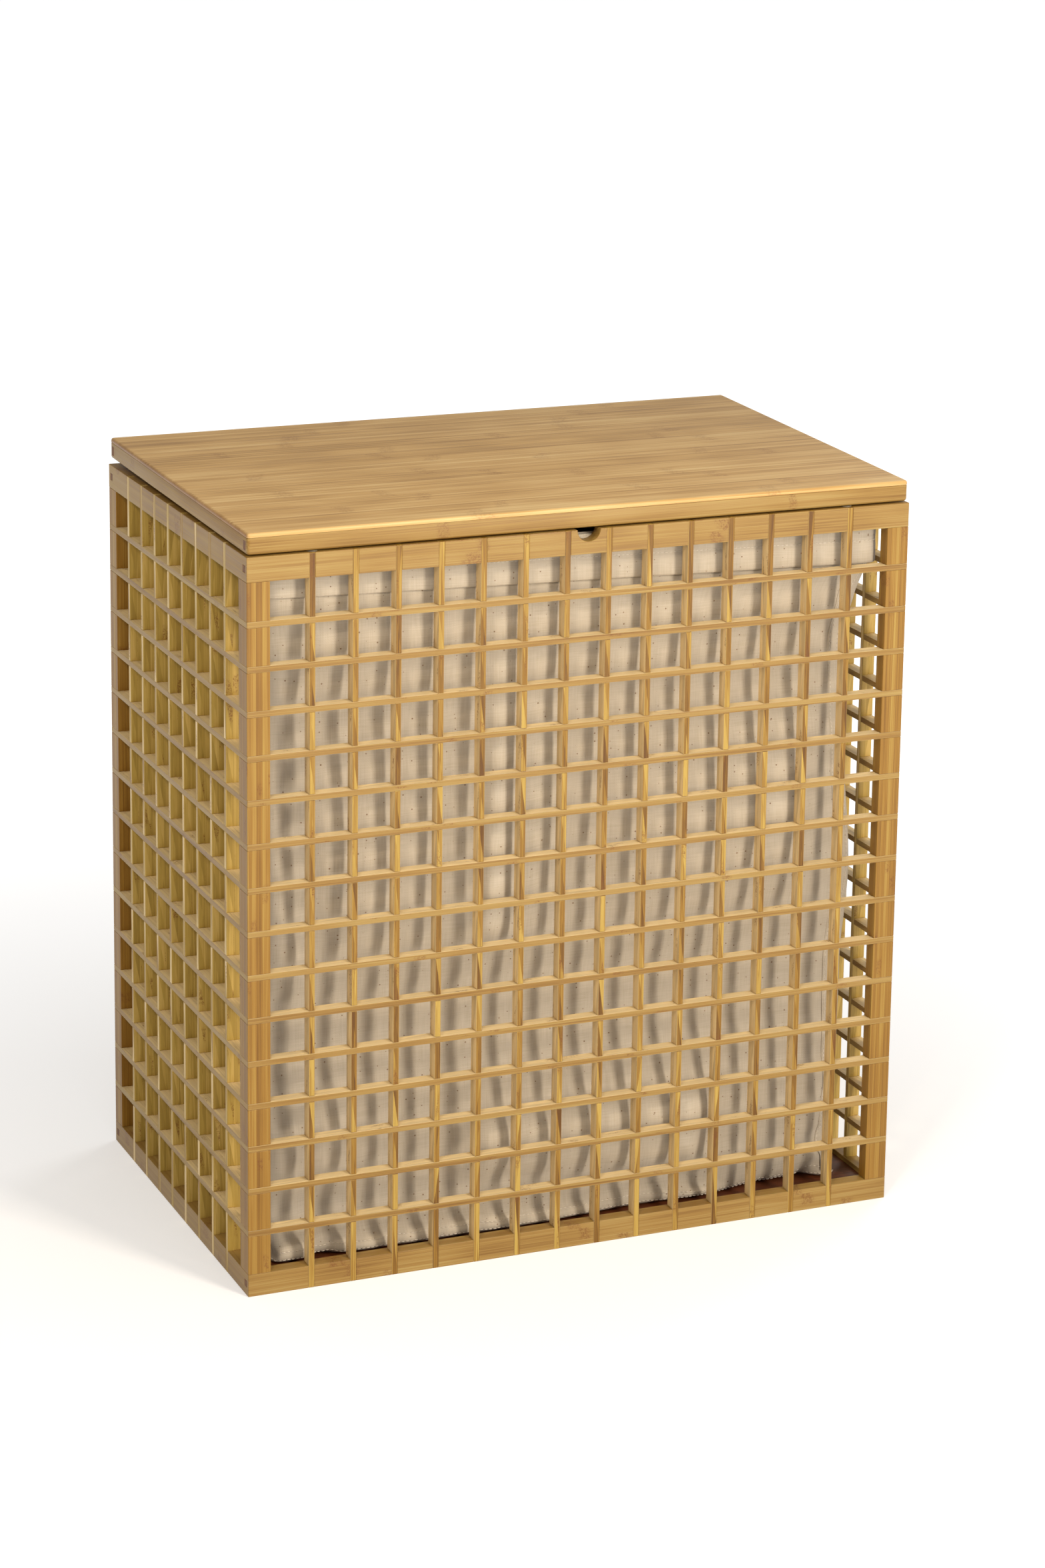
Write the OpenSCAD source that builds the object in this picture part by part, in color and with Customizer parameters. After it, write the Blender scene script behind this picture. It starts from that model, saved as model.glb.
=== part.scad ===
// Lattice laundry hamper in bamboo, with a hinged lid and a cotton liner bag.
// X runs along the front, +Y points to the back, +Z is up. The origin is the centre of the base.

/* [Body] */
// Width of the body, across the front
body_w = 520; // [400:0.5:700]
// Depth of the body, front to back
body_d = 325; // [260:0.5:480]
// Height of the body, without the lid
body_h = 552.5; // [420:0.5:720]

/* [Lattice] */
// Uprights in the front panel and in the back panel
front_slats = 14; // [6:1:20]
// Uprights in each side panel
side_slats = 8; // [4:1:14]
// Crossbars in every panel
crossbar_count = 15; // [6:1:20]
// Distance from a panel's outer edge to the centre of its first slat
edge_to_slat = 48.75; // [30:0.25:70]
// Face width of a slat
slat_w = 4.4; // [3:0.1:7]
// Depth of a slat, from the outer face inwards
slat_t = 10; // [7:0.5:14]

/* [Frames] */
// Face width of the corner stiles
stile_w = 17.3; // [14:0.1:28]
// Height of the top rails
top_rail_h = 18.2; // [15:0.1:28]
// Height of the bottom rails
bottom_rail_h = 17.2; // [15:0.1:28]
// Thickness of the stiles and rails
frame_t = 11; // [10:0.5:16]
// Radius of the half-round finger notch in the front top rail
notch_r = 9; // [6:0.5:12]
// Side of the square pegs that lock the corners of the rails
peg_s = 5; // [3:0.5:6]
// Length of a corner peg
peg_length = 30; // [20:1:40]
// Distance from the outer face of a panel to the centre of a corner peg
peg_inset = 6; // [4.5:0.25:7]

/* [Lid] */
// Thickness of the lid's top board
lid_board_t = 3.4; // [2:0.1:8]
// Height of the frame of rails under the board
lid_rail_h = 12.4; // [11:0.1:20]
// Width of the lid's rails, seen from below
lid_rail_w = 18; // [15:0.5:30]
// How far the lid's left and right edges stand in from the body's
lid_side_inset = 0.8; // [0:0.1:4]
// How far the lid's front and back edges stand in from the body's
lid_end_inset = 1.5; // [0:0.1:4]
// Gap between body and lid along the front edge
lid_front_gap = 1; // [0.8:0.1:3]
// Gap between body and lid along the hinged edge
lid_hinge_gap = 5.2; // [5:0.1:8]
// Height of the square-cornered pegs in the lid's corners
lid_peg_h = 7; // [4:0.5:8]
// Thickness of the lid's corner pegs
lid_peg_t = 5; // [3:0.5:6]

/* [Hinges] */
// Distance from the middle of the lid to the middle of each hinge
hinge_x = 160; // [80:1:190]
// Length of a hinge along the edge
hinge_w = 40; // [30:1:60]
// Depth of a hinge leaf, from the knuckle's axis inwards
leaf_d = 10.5; // [9:0.5:12]
// Thickness of a hinge leaf
leaf_t = 1.2; // [0.8:0.1:1.5]
// Outer radius of the hinge knuckle
knuckle_r = 2.1; // [1.9:0.1:2.2]
// Radius of the hinge pin
pin_r = 1.1; // [0.8:0.1:1.3]
// Distance from the knuckle's axis to the back face of the body
axis_inset = 2.5; // [2.3:0.1:4]
// Radius of a hinge screw's shank
screw_r = 1.1; // [0.8:0.1:1.4]
// Length of a hinge screw, below its head
screw_length = 8; // [6:0.5:9]

/* [Floor] */
// Thickness of the floor panel
floor_t = 4; // [3:0.5:8]
// Height of the cleats under the floor panel
cleat_h = 8; // [5:0.5:10]
// Width of the cleats
cleat_w = 9; // [6:0.5:16]
// Height of the cleats' undersides above the base
cleat_lift = 1.5; // [0:0.5:4]

/* [Liner] */
// Thickness of the liner's cloth walls
liner_t = 1.5; // [1:0.1:3]
// Height of the turned cuff at the liner's top
cuff_h = 38; // [20:1:60]
// Thickness of the cuff, over the wall
cuff_t = 1.6; // [1:0.1:3]
// How far the liner's top edge stands below the body's
liner_drop = 5; // [2:0.5:12]
// Space between the floor panel and the liner's base
liner_lift = 1; // [0.5:0.5:5]
// Height of the hook and loop strips that hold the liner
strip_h = 12; // [8:1:16]
// Thickness of one hook or loop strip
strip_t = 1.2; // [0.8:0.1:2]
// How far the strips stop short of each corner
strip_end = 40; // [20:1:90]

/* [Fits] */
// Clearance on each side of a slat in its housing
lap_gap = 0.05; // [0.02:0.01:0.2]
// Clearance around a corner peg
peg_gap = 0.05; // [0.02:0.01:0.2]
// Radial clearance of the pin in the lid leaf's knuckle
pin_gap = 0.06; // [0.02:0.01:0.1]
// Clearance between the knuckles of the two leaves
knuckle_gap = 0.3; // [0.2:0.05:0.6]
// Clearance between a leaf and the other leaf's knuckle
leaf_gap = 0.8; // [0.6:0.1:1.2]
// Clearance around the floor panel
floor_gap = 0.3; // [0.1:0.1:1]
// Space between a bumper and the closed lid
bumper_gap = 0.15; // [0.1:0.05:0.3]

/* [Hidden] */
$fn = 48;
bamboo_light = "#cfa86a";
bamboo_dark = "#b98b4e";
canvas = "#c9bba6";
lap_d = slat_t / 2;
stile_h = body_h - top_rail_h - bottom_rail_h;
front_pitch = (body_w - 2 * edge_to_slat) / (front_slats - 1);
side_pitch = (body_d - 2 * edge_to_slat) / (side_slats - 1);
row_pitch = (body_h - 2 * edge_to_slat) / (crossbar_count - 1);
front_centres = [for (i = [0:front_slats - 1]) edge_to_slat - body_w / 2 + i * front_pitch];
side_centres = [for (i = [0:side_slats - 1]) edge_to_slat - body_d / 2 + i * side_pitch];
row_heights = [for (i = [0:crossbar_count - 1]) edge_to_slat + i * row_pitch];
housing_w = slat_w + 2 * lap_gap;
inner_w = body_w - 2 * frame_t;
inner_d = body_d - 2 * frame_t;
lid_w = body_w - 2 * lid_side_inset;
lid_d = body_d - 2 * lid_end_inset;
lid_tilt = asin((lid_hinge_gap - lid_front_gap) / lid_d);
lid_peg_z = lid_rail_h / 2;
top_rail_z = body_h - top_rail_h;
top_peg_z = body_h - top_rail_h / 2;
bottom_peg_z = bottom_rail_h / 2;
axis_y = body_d / 2 - axis_inset;
lid_axis_y = lid_end_inset + lid_d - axis_inset;
axis_z = body_h + lid_hinge_gap / 2;
knuckle_count = 3;
knuckle_w = hinge_w / knuckle_count;
screw_spread = hinge_w / 2;
screw_edge = 4;
screw_from_axis = leaf_d - screw_edge;
head_r = 2 * screw_r;
head_h = leaf_t;
bumper_r = 4;
bumper_end = 50;
bumper_x = body_w / 2 - bumper_end;
bumper_y = frame_t / 2 - body_d / 2;
floor_z = cleat_lift + cleat_h;
liner_gap = 2 * strip_t + cuff_t;
liner_w = inner_w - 2 * liner_gap;
liner_d = inner_d - 2 * liner_gap;
liner_z = floor_z + floor_t + liner_lift;
liner_top = body_h - liner_drop;
strip_drop = 1;
strip_z = liner_top - strip_h - strip_drop;
over = 1;

// ---- Places -------------------------------------------------------------------------------
// A panel is drawn with its outer face on Y = 0, its thickness towards +Y and its middle on X = 0.
module at_front() { translate([0, -body_d / 2, 0]) children(); }
module at_back() { translate([0, body_d / 2, 0]) rotate([0, 0, 180]) children(); }
module at_left() { translate([-body_w / 2, 0, 0]) rotate([0, 0, -90]) children(); }
module at_right() { translate([body_w / 2, 0, 0]) rotate([0, 0, 90]) children(); }

// The closed lid leans forward a little, from its hinges down to its bumpers.
module on_lid() {
    translate([0, -lid_d / 2, body_h + lid_front_gap]) rotate([lid_tilt, 0, 0]) children();
}

// ---- Outlines -----------------------------------------------------------------------------
// One housing cut into the outer face at centre c.
function housing(c) = [
    [c - housing_w / 2, 0], [c - housing_w / 2, lap_d],
    [c + housing_w / 2, lap_d], [c + housing_w / 2, 0]
];

// A mitred rail from above, with a housing for each upright.
function rail_outline(length, centres) = concat(
    [[-length / 2, 0]],
    [for (c = centres) for (p = housing(c)) p],
    [[length / 2, 0], [length / 2 - frame_t, frame_t], [frame_t - length / 2, frame_t]]
);

// A crossbar from above: its front half runs from mitre to mitre, and its back half stops at
// the stiles and at each upright.
function crossbar_outline(length, centres) =
    let (inner = length / 2 - stile_w)
    let (starts = concat([-inner + lap_gap], [for (c = centres) c + housing_w / 2]))
    let (ends = concat([for (c = centres) c - housing_w / 2], [inner - lap_gap]))
    concat(
        [[-length / 2, 0], [length / 2, 0], [length / 2 - lap_d, lap_d]],
        [for (i = [len(ends) - 1:-1:0]) for (p = [
            [ends[i], lap_d], [ends[i], slat_t], [starts[i], slat_t], [starts[i], lap_d]
        ]) p],
        [[lap_d - length / 2, lap_d]]
    );

// An upright from the side, with its length along X: its back half runs from rail to rail, and
// its front half runs over both rails and is open at each crossbar.
function upright_outline() = concat(
    [[bottom_rail_h, slat_t], [body_h - top_rail_h, slat_t], [body_h - top_rail_h, lap_d]],
    [[body_h, lap_d], [body_h, 0]],
    [for (i = [crossbar_count - 1:-1:0]) for (p = [
        [row_heights[i] + housing_w / 2, 0], [row_heights[i] + housing_w / 2, lap_d],
        [row_heights[i] - housing_w / 2, lap_d], [row_heights[i] - housing_w / 2, 0]
    ]) p],
    [[0, 0], [0, lap_d], [bottom_rail_h, lap_d]]
);

// ---- Panel pieces -------------------------------------------------------------------------
// Square hole for a corner peg, running along X from a panel's end.
module peg_hole(z) {
    hole = peg_s + 2 * peg_gap;
    translate([0, peg_inset - hole / 2, z - hole / 2]) cube([peg_length + peg_gap, hole, hole]);
}

// Holes of the two pegs that enter a front or back rail from its ends.
module end_peg_holes(length, z) {
    for (side = [0, 1]) mirror([side, 0, 0]) translate([-length / 2, 0, 0]) peg_hole(z);
}

// Holes of the two pegs that cross a side rail near its ends.
module cross_peg_holes(length, z) {
    hole = peg_s + 2 * peg_gap;
    for (side = [-1, 1])
        translate([side * (length / 2 - peg_inset) - hole / 2, -over, z - hole / 2])
            cube([hole, frame_t + 2 * over, hole]);
}

module rail(length, centres, z, height) {
    translate([0, 0, z]) linear_extrude(height) polygon(rail_outline(length, centres));
}

// The stile at the low end of X; a crossbar's front half lies in each of its housings.
module stile(length) {
    difference() {
        translate([0, 0, bottom_rail_h]) linear_extrude(stile_h) polygon([
            [-length / 2, 0], [stile_w - length / 2, 0],
            [stile_w - length / 2, frame_t], [frame_t - length / 2, frame_t]
        ]);
        for (z = row_heights)
            translate([-length / 2 - over, -over, z - housing_w / 2])
                cube([stile_w + 2 * over, over + lap_d, housing_w]);
    }
}

module uprights(centres) {
    for (c = centres)
        translate([c + slat_w / 2, 0, 0]) rotate([0, -90, 0])
            linear_extrude(slat_w) polygon(upright_outline());
}

module crossbars(length, centres) {
    for (z = row_heights)
        translate([0, 0, z - slat_w / 2])
            linear_extrude(slat_w) polygon(crossbar_outline(length, centres));
}

// ---- Front panel --------------------------------------------------------------------------
module front_top_rail() {
    color(bamboo_light) at_front() difference() {
        rail(body_w, front_centres, top_rail_z, top_rail_h);
        end_peg_holes(body_w, top_peg_z);
        translate([0, -over, body_h]) rotate([-90, 0, 0]) cylinder(r = notch_r, h = frame_t + 2 * over);
    }
}
module front_bottom_rail() {
    color(bamboo_light) at_front() difference() {
        rail(body_w, front_centres, 0, bottom_rail_h);
        end_peg_holes(body_w, bottom_peg_z);
    }
}
module front_left_stile() { color(bamboo_light) at_front() stile(body_w); }
module front_right_stile() { color(bamboo_light) at_front() mirror([1, 0, 0]) stile(body_w); }
module front_uprights() { color(bamboo_dark) at_front() uprights(front_centres); }
module front_crossbars() { color(bamboo_light) at_front() crossbars(body_w, front_centres); }

// ---- Back panel ---------------------------------------------------------------------------
// The back rail's top edge takes the screws of the two body leaves.
module back_top_rail() {
    color(bamboo_light) difference() {
        at_back() difference() {
            rail(body_w, front_centres, top_rail_z, top_rail_h);
            end_peg_holes(body_w, top_peg_z);
        }
        body_screw_places() translate([0, 0, -screw_length]) cylinder(r = screw_r, h = screw_length + over);
    }
}
module back_bottom_rail() {
    color(bamboo_light) at_back() difference() {
        rail(body_w, front_centres, 0, bottom_rail_h);
        end_peg_holes(body_w, bottom_peg_z);
    }
}
module back_left_stile() { color(bamboo_light) at_back() mirror([1, 0, 0]) stile(body_w); }
module back_right_stile() { color(bamboo_light) at_back() stile(body_w); }
module back_uprights() { color(bamboo_dark) at_back() uprights(front_centres); }
module back_crossbars() { color(bamboo_light) at_back() crossbars(body_w, front_centres); }

// ---- Side panels --------------------------------------------------------------------------
module side_rail(z, height, peg_z) {
    difference() {
        rail(body_d, side_centres, z, height);
        cross_peg_holes(body_d, peg_z);
    }
}
module left_top_rail() { color(bamboo_light) at_left() side_rail(top_rail_z, top_rail_h, top_peg_z); }
module left_bottom_rail() { color(bamboo_light) at_left() side_rail(0, bottom_rail_h, bottom_peg_z); }
module left_front_stile() { color(bamboo_light) at_left() mirror([1, 0, 0]) stile(body_d); }
module left_back_stile() { color(bamboo_light) at_left() stile(body_d); }
module left_uprights() { color(bamboo_dark) at_left() uprights(side_centres); }
module left_crossbars() { color(bamboo_light) at_left() crossbars(body_d, side_centres); }
module right_top_rail() { color(bamboo_light) at_right() side_rail(top_rail_z, top_rail_h, top_peg_z); }
module right_bottom_rail() { color(bamboo_light) at_right() side_rail(0, bottom_rail_h, bottom_peg_z); }
module right_front_stile() { color(bamboo_light) at_right() stile(body_d); }
module right_back_stile() { color(bamboo_light) at_right() mirror([1, 0, 0]) stile(body_d); }
module right_uprights() { color(bamboo_dark) at_right() uprights(side_centres); }
module right_crossbars() { color(bamboo_light) at_right() crossbars(body_d, side_centres); }

// ---- Corner pegs --------------------------------------------------------------------------
// Driven in from the side faces, through the side rails and into the front and back rails.
module corner_pegs(z) {
    for (sx = [0, 1], sy = [0, 1])
        mirror([sx, 0, 0]) mirror([0, sy, 0])
            translate([-body_w / 2, -body_d / 2 + peg_inset - peg_s / 2, z - peg_s / 2])
                cube([peg_length, peg_s, peg_s]);
}
module top_corner_pegs() { color("#8a6238") corner_pegs(top_peg_z); }
module bottom_corner_pegs() { color("#8a6238") corner_pegs(bottom_peg_z); }

// ---- Floor --------------------------------------------------------------------------------
module floor_panel() {
    w = inner_w - 2 * floor_gap;
    d = inner_d - 2 * floor_gap;
    color("#8d5f3a") translate([-w / 2, -d / 2, floor_z]) cube([w, d, floor_t]);
}
module floor_cleats() {
    color(bamboo_dark) {
        for (side = [0, 1]) mirror([0, side, 0])
            translate([-inner_w / 2, -inner_d / 2, cleat_lift]) cube([inner_w, cleat_w, cleat_h]);
        for (side = [0, 1]) mirror([side, 0, 0])
            translate([-inner_w / 2, cleat_w + floor_gap - inner_d / 2, cleat_lift])
                cube([cleat_w, inner_d - 2 * (cleat_w + floor_gap), cleat_h]);
    }
}

// ---- Lid ----------------------------------------------------------------------------------
// A mitred rail of the lid, drawn like a panel's rail.
module lid_rail(length) {
    linear_extrude(lid_rail_h) polygon([
        [-length / 2, 0], [length / 2, 0],
        [length / 2 - lid_rail_w, lid_rail_w], [lid_rail_w - length / 2, lid_rail_w]
    ]);
}
// The lid's pegs, or their holes where gap is the clearance around them.
module lid_pegs(gap) {
    for (sx = [0, 1], far = [0, 1])
        mirror([sx, 0, 0]) translate([
            -lid_w / 2, (far ? lid_d - peg_inset : peg_inset) - lid_peg_t / 2 - gap,
            lid_peg_z - lid_peg_h / 2 - gap
        ]) cube([peg_length + gap, lid_peg_t + 2 * gap, lid_peg_h + 2 * gap]);
}
module lid_board() {
    color("#c49a63") on_lid() translate([-lid_w / 2, 0, lid_rail_h]) cube([lid_w, lid_d, lid_board_t]);
}
module lid_front_rail() {
    color(bamboo_light) on_lid() difference() {
        lid_rail(lid_w);
        lid_pegs(peg_gap);
    }
}
module lid_back_rail() {
    color(bamboo_light) difference() {
        on_lid() difference() {
            translate([0, lid_d, 0]) rotate([0, 0, 180]) lid_rail(lid_w);
            lid_pegs(peg_gap);
        }
        lid_screw_places() translate([0, 0, -over]) cylinder(r = screw_r, h = screw_length + over);
    }
}
module lid_left_rail() {
    color(bamboo_light) on_lid() difference() {
        translate([-lid_w / 2, lid_d / 2, 0]) rotate([0, 0, -90]) lid_rail(lid_d);
        lid_pegs(peg_gap);
    }
}
module lid_right_rail() {
    color(bamboo_light) on_lid() difference() {
        translate([lid_w / 2, lid_d / 2, 0]) rotate([0, 0, 90]) lid_rail(lid_d);
        lid_pegs(peg_gap);
    }
}
module lid_corner_pegs() { color("#8a6238") on_lid() lid_pegs(0); }
// Clear bumpers on the front rail's top edge, which keep the closed lid off the wood.
module lid_bumpers() {
    color("gainsboro") for (side = [-1, 1])
        translate([side * bumper_x, bumper_y, body_h])
            cylinder(r = bumper_r, h = lid_front_gap - bumper_gap);
}

// ---- Hinges -------------------------------------------------------------------------------
module at_hinge(side) { translate([side * hinge_x, axis_y, axis_z]) children(); }
// A knuckle's barrel from x0 to x1, along the axis.
module barrel(x0, x1, r) {
    translate([x0, 0, 0]) rotate([0, 90, 0]) cylinder(r = r, h = x1 - x0);
}
// Places of a leaf's two screws, on the face that the leaf lies on.
module body_screw_places() {
    for (side = [-1, 1], s = [-1, 1])
        translate([side * hinge_x + s * screw_spread / 2, axis_y - screw_from_axis, body_h]) children();
}
// The same on the lid's underside.
module lid_screw_places() {
    on_lid() for (side = [-1, 1], s = [-1, 1])
        translate([side * hinge_x + s * screw_spread / 2, lid_axis_y - screw_from_axis, 0]) children();
}
// A countersunk hole or head, its wide end at z = 0 and its shank along -Z.
module countersunk(length) {
    translate([0, 0, -head_h]) cylinder(r1 = screw_r, r2 = head_r, h = head_h);
    translate([0, 0, -length]) cylinder(r = screw_r, h = length - head_h);
}
module body_leaf(side) {
    mid = knuckle_w / 2;
    color("#b9b4a8") difference() {
        union() {
            translate([side * hinge_x - hinge_w / 2, axis_y - leaf_d, body_h]) cube([hinge_w, leaf_d, leaf_t]);
            at_hinge(side) {
                barrel(-hinge_w / 2, -mid - knuckle_gap / 2, knuckle_r);
                barrel(mid + knuckle_gap / 2, hinge_w / 2, knuckle_r);
            }
        }
        at_hinge(side) barrel(-hinge_w / 2 - over, hinge_w / 2 + over, pin_r);
        translate([
            side * hinge_x - mid - knuckle_gap / 2, axis_y - knuckle_r - leaf_gap, body_h - over
        ]) cube([knuckle_w + knuckle_gap, knuckle_r + leaf_gap + over, leaf_t + 2 * over]);
        body_screw_places() translate([0, 0, leaf_t]) countersunk(leaf_t + over);
    }
}
module lid_leaf(side) {
    mid = knuckle_w / 2;
    reach = knuckle_r + leaf_gap;
    color("#b9b4a8") difference() {
        union() {
            on_lid() translate([side * hinge_x - hinge_w / 2, lid_axis_y - leaf_d, -leaf_t])
                cube([hinge_w, leaf_d, leaf_t]);
            at_hinge(side) barrel(-mid + knuckle_gap / 2, mid - knuckle_gap / 2, knuckle_r);
        }
        at_hinge(side) barrel(-hinge_w / 2 - over, hinge_w / 2 + over, pin_r + pin_gap);
        for (s = [0, 1]) translate([side * hinge_x, 0, 0]) mirror([s, 0, 0])
            on_lid() translate([mid - knuckle_gap / 2, lid_axis_y - reach, -leaf_t - over])
                cube([hinge_w, reach + over, leaf_t + 2 * over]);
        lid_screw_places() translate([0, 0, -leaf_t]) mirror([0, 0, 1]) countersunk(leaf_t + over);
    }
}
module hinge_pin(side) { color("silver") at_hinge(side) barrel(-hinge_w / 2, hinge_w / 2, pin_r); }
module left_hinge_body_leaf() { body_leaf(-1); }
module left_hinge_lid_leaf() { lid_leaf(-1); }
module left_hinge_pin() { hinge_pin(-1); }
module right_hinge_body_leaf() { body_leaf(1); }
module right_hinge_lid_leaf() { lid_leaf(1); }
module right_hinge_pin() { hinge_pin(1); }
module hinge_body_screws() {
    color("silver") body_screw_places() translate([0, 0, leaf_t]) countersunk(leaf_t + screw_length);
}
module hinge_lid_screws() {
    color("silver") lid_screw_places() translate([0, 0, -leaf_t])
        mirror([0, 0, 1]) countersunk(leaf_t + screw_length);
}

// ---- Liner --------------------------------------------------------------------------------
module liner_wall(width) { translate([-width / 2, 0, liner_z]) cube([width, liner_t, liner_top - liner_z]); }
module liner_front() { color(canvas) translate([0, -liner_d / 2, 0]) liner_wall(liner_w); }
module liner_back() { color(canvas) translate([0, liner_d / 2 - liner_t, 0]) liner_wall(liner_w); }
module liner_left() {
    color(canvas) translate([liner_t - liner_w / 2, 0, 0]) rotate([0, 0, 90])
        liner_wall(liner_d - 2 * liner_t);
}
module liner_right() {
    color(canvas) translate([liner_w / 2, 0, 0]) rotate([0, 0, 90]) liner_wall(liner_d - 2 * liner_t);
}
module liner_base() {
    w = liner_w - 2 * liner_t;
    d = liner_d - 2 * liner_t;
    color(canvas) translate([-w / 2, -d / 2, liner_z]) cube([w, d, liner_t]);
}
// Four strips round the liner, of a given thickness, between a start and an end height.
module band(outer_w, outer_d, thickness, z, height, end) {
    for (side = [0, 1]) mirror([0, side, 0])
        translate([end - outer_w / 2, -outer_d / 2, z]) cube([outer_w - 2 * end, thickness, height]);
    for (side = [0, 1]) mirror([side, 0, 0])
        translate([-outer_w / 2, thickness + end - outer_d / 2, z])
            cube([thickness, outer_d - 2 * (thickness + end), height]);
}
module liner_cuff() {
    w = liner_w + 2 * cuff_t;
    d = liner_d + 2 * cuff_t;
    color("#d3c7b4") difference() {
        translate([-w / 2, -d / 2, liner_top - cuff_h]) cube([w, d, cuff_h]);
        translate([-liner_w / 2, -liner_d / 2, liner_top - cuff_h - over])
            cube([liner_w, liner_d, cuff_h + 2 * over]);
    }
}
module liner_loop_strips() {
    color("#e2dac9") band(
        liner_w + 2 * (cuff_t + strip_t), liner_d + 2 * (cuff_t + strip_t),
        strip_t, strip_z, strip_h, strip_end
    );
}
module frame_hook_strips() {
    color("#ddd3bf") band(inner_w, inner_d, strip_t, strip_z, strip_h, strip_end);
}

front_top_rail();
front_bottom_rail();
front_left_stile();
front_right_stile();
front_uprights();
front_crossbars();
back_top_rail();
back_bottom_rail();
back_left_stile();
back_right_stile();
back_uprights();
back_crossbars();
left_top_rail();
left_bottom_rail();
left_front_stile();
left_back_stile();
left_uprights();
left_crossbars();
right_top_rail();
right_bottom_rail();
right_front_stile();
right_back_stile();
right_uprights();
right_crossbars();
top_corner_pegs();
bottom_corner_pegs();
floor_panel();
floor_cleats();
lid_board();
lid_front_rail();
lid_back_rail();
lid_left_rail();
lid_right_rail();
lid_corner_pegs();
lid_bumpers();
left_hinge_body_leaf();
left_hinge_lid_leaf();
left_hinge_pin();
right_hinge_body_leaf();
right_hinge_lid_leaf();
right_hinge_pin();
hinge_body_screws();
hinge_lid_screws();
liner_front();
liner_back();
liner_left();
liner_right();
liner_base();
liner_cuff();
liner_loop_strips();
frame_hook_strips();
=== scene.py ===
"""Bamboo lattice laundry hamper: finishes, liner bag and fittings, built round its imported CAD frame.

Lengths are metres in Blender and in the settings, and millimetres inside the shape code.
X runs along the front, +Y to the back and +Z up. The origin is the centre of the base.
"""

import math

import bmesh
import bpy
from mathutils import Matrix, Vector, noise


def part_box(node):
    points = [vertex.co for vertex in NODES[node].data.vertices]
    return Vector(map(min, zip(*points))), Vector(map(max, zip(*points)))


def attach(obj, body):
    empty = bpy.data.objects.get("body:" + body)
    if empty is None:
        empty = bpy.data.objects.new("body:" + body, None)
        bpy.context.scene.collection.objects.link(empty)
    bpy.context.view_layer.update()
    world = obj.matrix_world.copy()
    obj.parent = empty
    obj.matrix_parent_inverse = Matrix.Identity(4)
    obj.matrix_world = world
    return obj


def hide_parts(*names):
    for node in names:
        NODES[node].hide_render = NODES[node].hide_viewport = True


bl_info = {
    "name": "Bamboo Lattice Laundry Hamper",
    "version": (1, 0, 0),
    "blender": (4, 5, 0),
    "location": "View3D > Sidebar > Hamper",
    "description": "Bamboo finishes, canvas liner, stitching and fittings of a lattice laundry hamper",
    "category": "Object",
}

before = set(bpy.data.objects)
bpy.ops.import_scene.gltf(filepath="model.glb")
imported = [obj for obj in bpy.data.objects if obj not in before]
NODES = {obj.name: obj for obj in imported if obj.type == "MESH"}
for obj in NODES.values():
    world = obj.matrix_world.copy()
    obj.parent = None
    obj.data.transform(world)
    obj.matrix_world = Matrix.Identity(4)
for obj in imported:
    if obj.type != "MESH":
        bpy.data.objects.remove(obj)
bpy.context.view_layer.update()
MM = 0.001
AXES = {"X": 0, "Y": 1, "Z": 2}

# In millimetres: how far the panels' faces stand from the middle, and how far the stitched seam
# of the bag's cuff lies above the cuff's lower edge.
PANEL_REACH = -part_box("front_crossbars")[0].y / MM
CUFF_SEAM_RISE = 17.5


# ---- Small helpers ------------------------------------------------------------------------
def linear(hex_colour):
    """An sRGB hex colour as linear red, green and blue."""
    channels = []
    for start in (1, 3, 5):
        value = int(hex_colour[start:start + 2], 16) / 255
        channels.append(value / 12.92 if value <= 0.04045 else ((value + 0.055) / 1.055) ** 2.4)
    return tuple(channels)


def add(tree, kind, settings=None, **inputs):
    """A node of a kind with its settings. An input named as its socket, or as in0, in1 for its
    place, takes a value or another node's output."""
    node = tree.nodes.new(kind)
    for key, value in (settings or {}).items():
        setattr(node, key, value)
    for key, value in inputs.items():
        socket = node.inputs[int(key[2:])] if key[:2] == "in" else node.inputs[key.replace("_", " ")]
        if isinstance(value, bpy.types.NodeSocket):
            tree.links.new(value, socket)
        else:
            socket.default_value = value
    return node


def new_material(name):
    """An empty material and its node tree."""
    material = bpy.data.materials.new(name)
    material.use_nodes = True
    material.node_tree.nodes.clear()
    return material, material.node_tree


def finish_cad(names, material, bevel, segments=2):
    """Gives CAD nodes their material and eases their edges by a bevel of this width."""
    for name in names:
        node = NODES[name]
        for place in range(len(node.material_slots)):
            node.material_slots[place].link = "OBJECT"
            node.material_slots[place].material = material
        weld = node.modifiers.new("join_faces", "WELD")
        weld.merge_threshold = 0.01 * MM
        ease = node.modifiers.new("eased_edges", "BEVEL")
        ease.width = bevel
        ease.segments = segments
        ease.limit_method = "ANGLE"
        ease.angle_limit = math.radians(40)
        ease.loop_slide = False


def new_piece(name, verts, faces, material, body="root", smooth=True):
    """A mesh piece from points in millimetres, riding on a body."""
    mesh = bpy.data.meshes.new(name)
    mesh.from_pydata([Vector(v) * MM for v in verts], [], faces)
    mesh.validate()
    mesh.polygons.foreach_set("use_smooth", [smooth] * len(mesh.polygons))
    mesh.materials.append(material)
    piece = bpy.data.objects.new(name, mesh)
    bpy.context.scene.collection.objects.link(piece)
    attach(piece, body)
    return piece


def smoothstep(low, high, value):
    """0 below low, 1 above high, and a smooth rise between them."""
    t = min(max((value - low) / (high - low), 0.0), 1.0)
    return t * t * (3 - 2 * t)


def through(points, value):
    """A smooth curve through (place, height) points, read at a place."""
    if value <= points[0][0]:
        return points[0][1]
    for (x0, y0), (x1, y1) in zip(points, points[1:]):
        if value <= x1:
            return y0 + (y1 - y0) * smoothstep(x0, x1, value)
    return points[-1][1]


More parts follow.
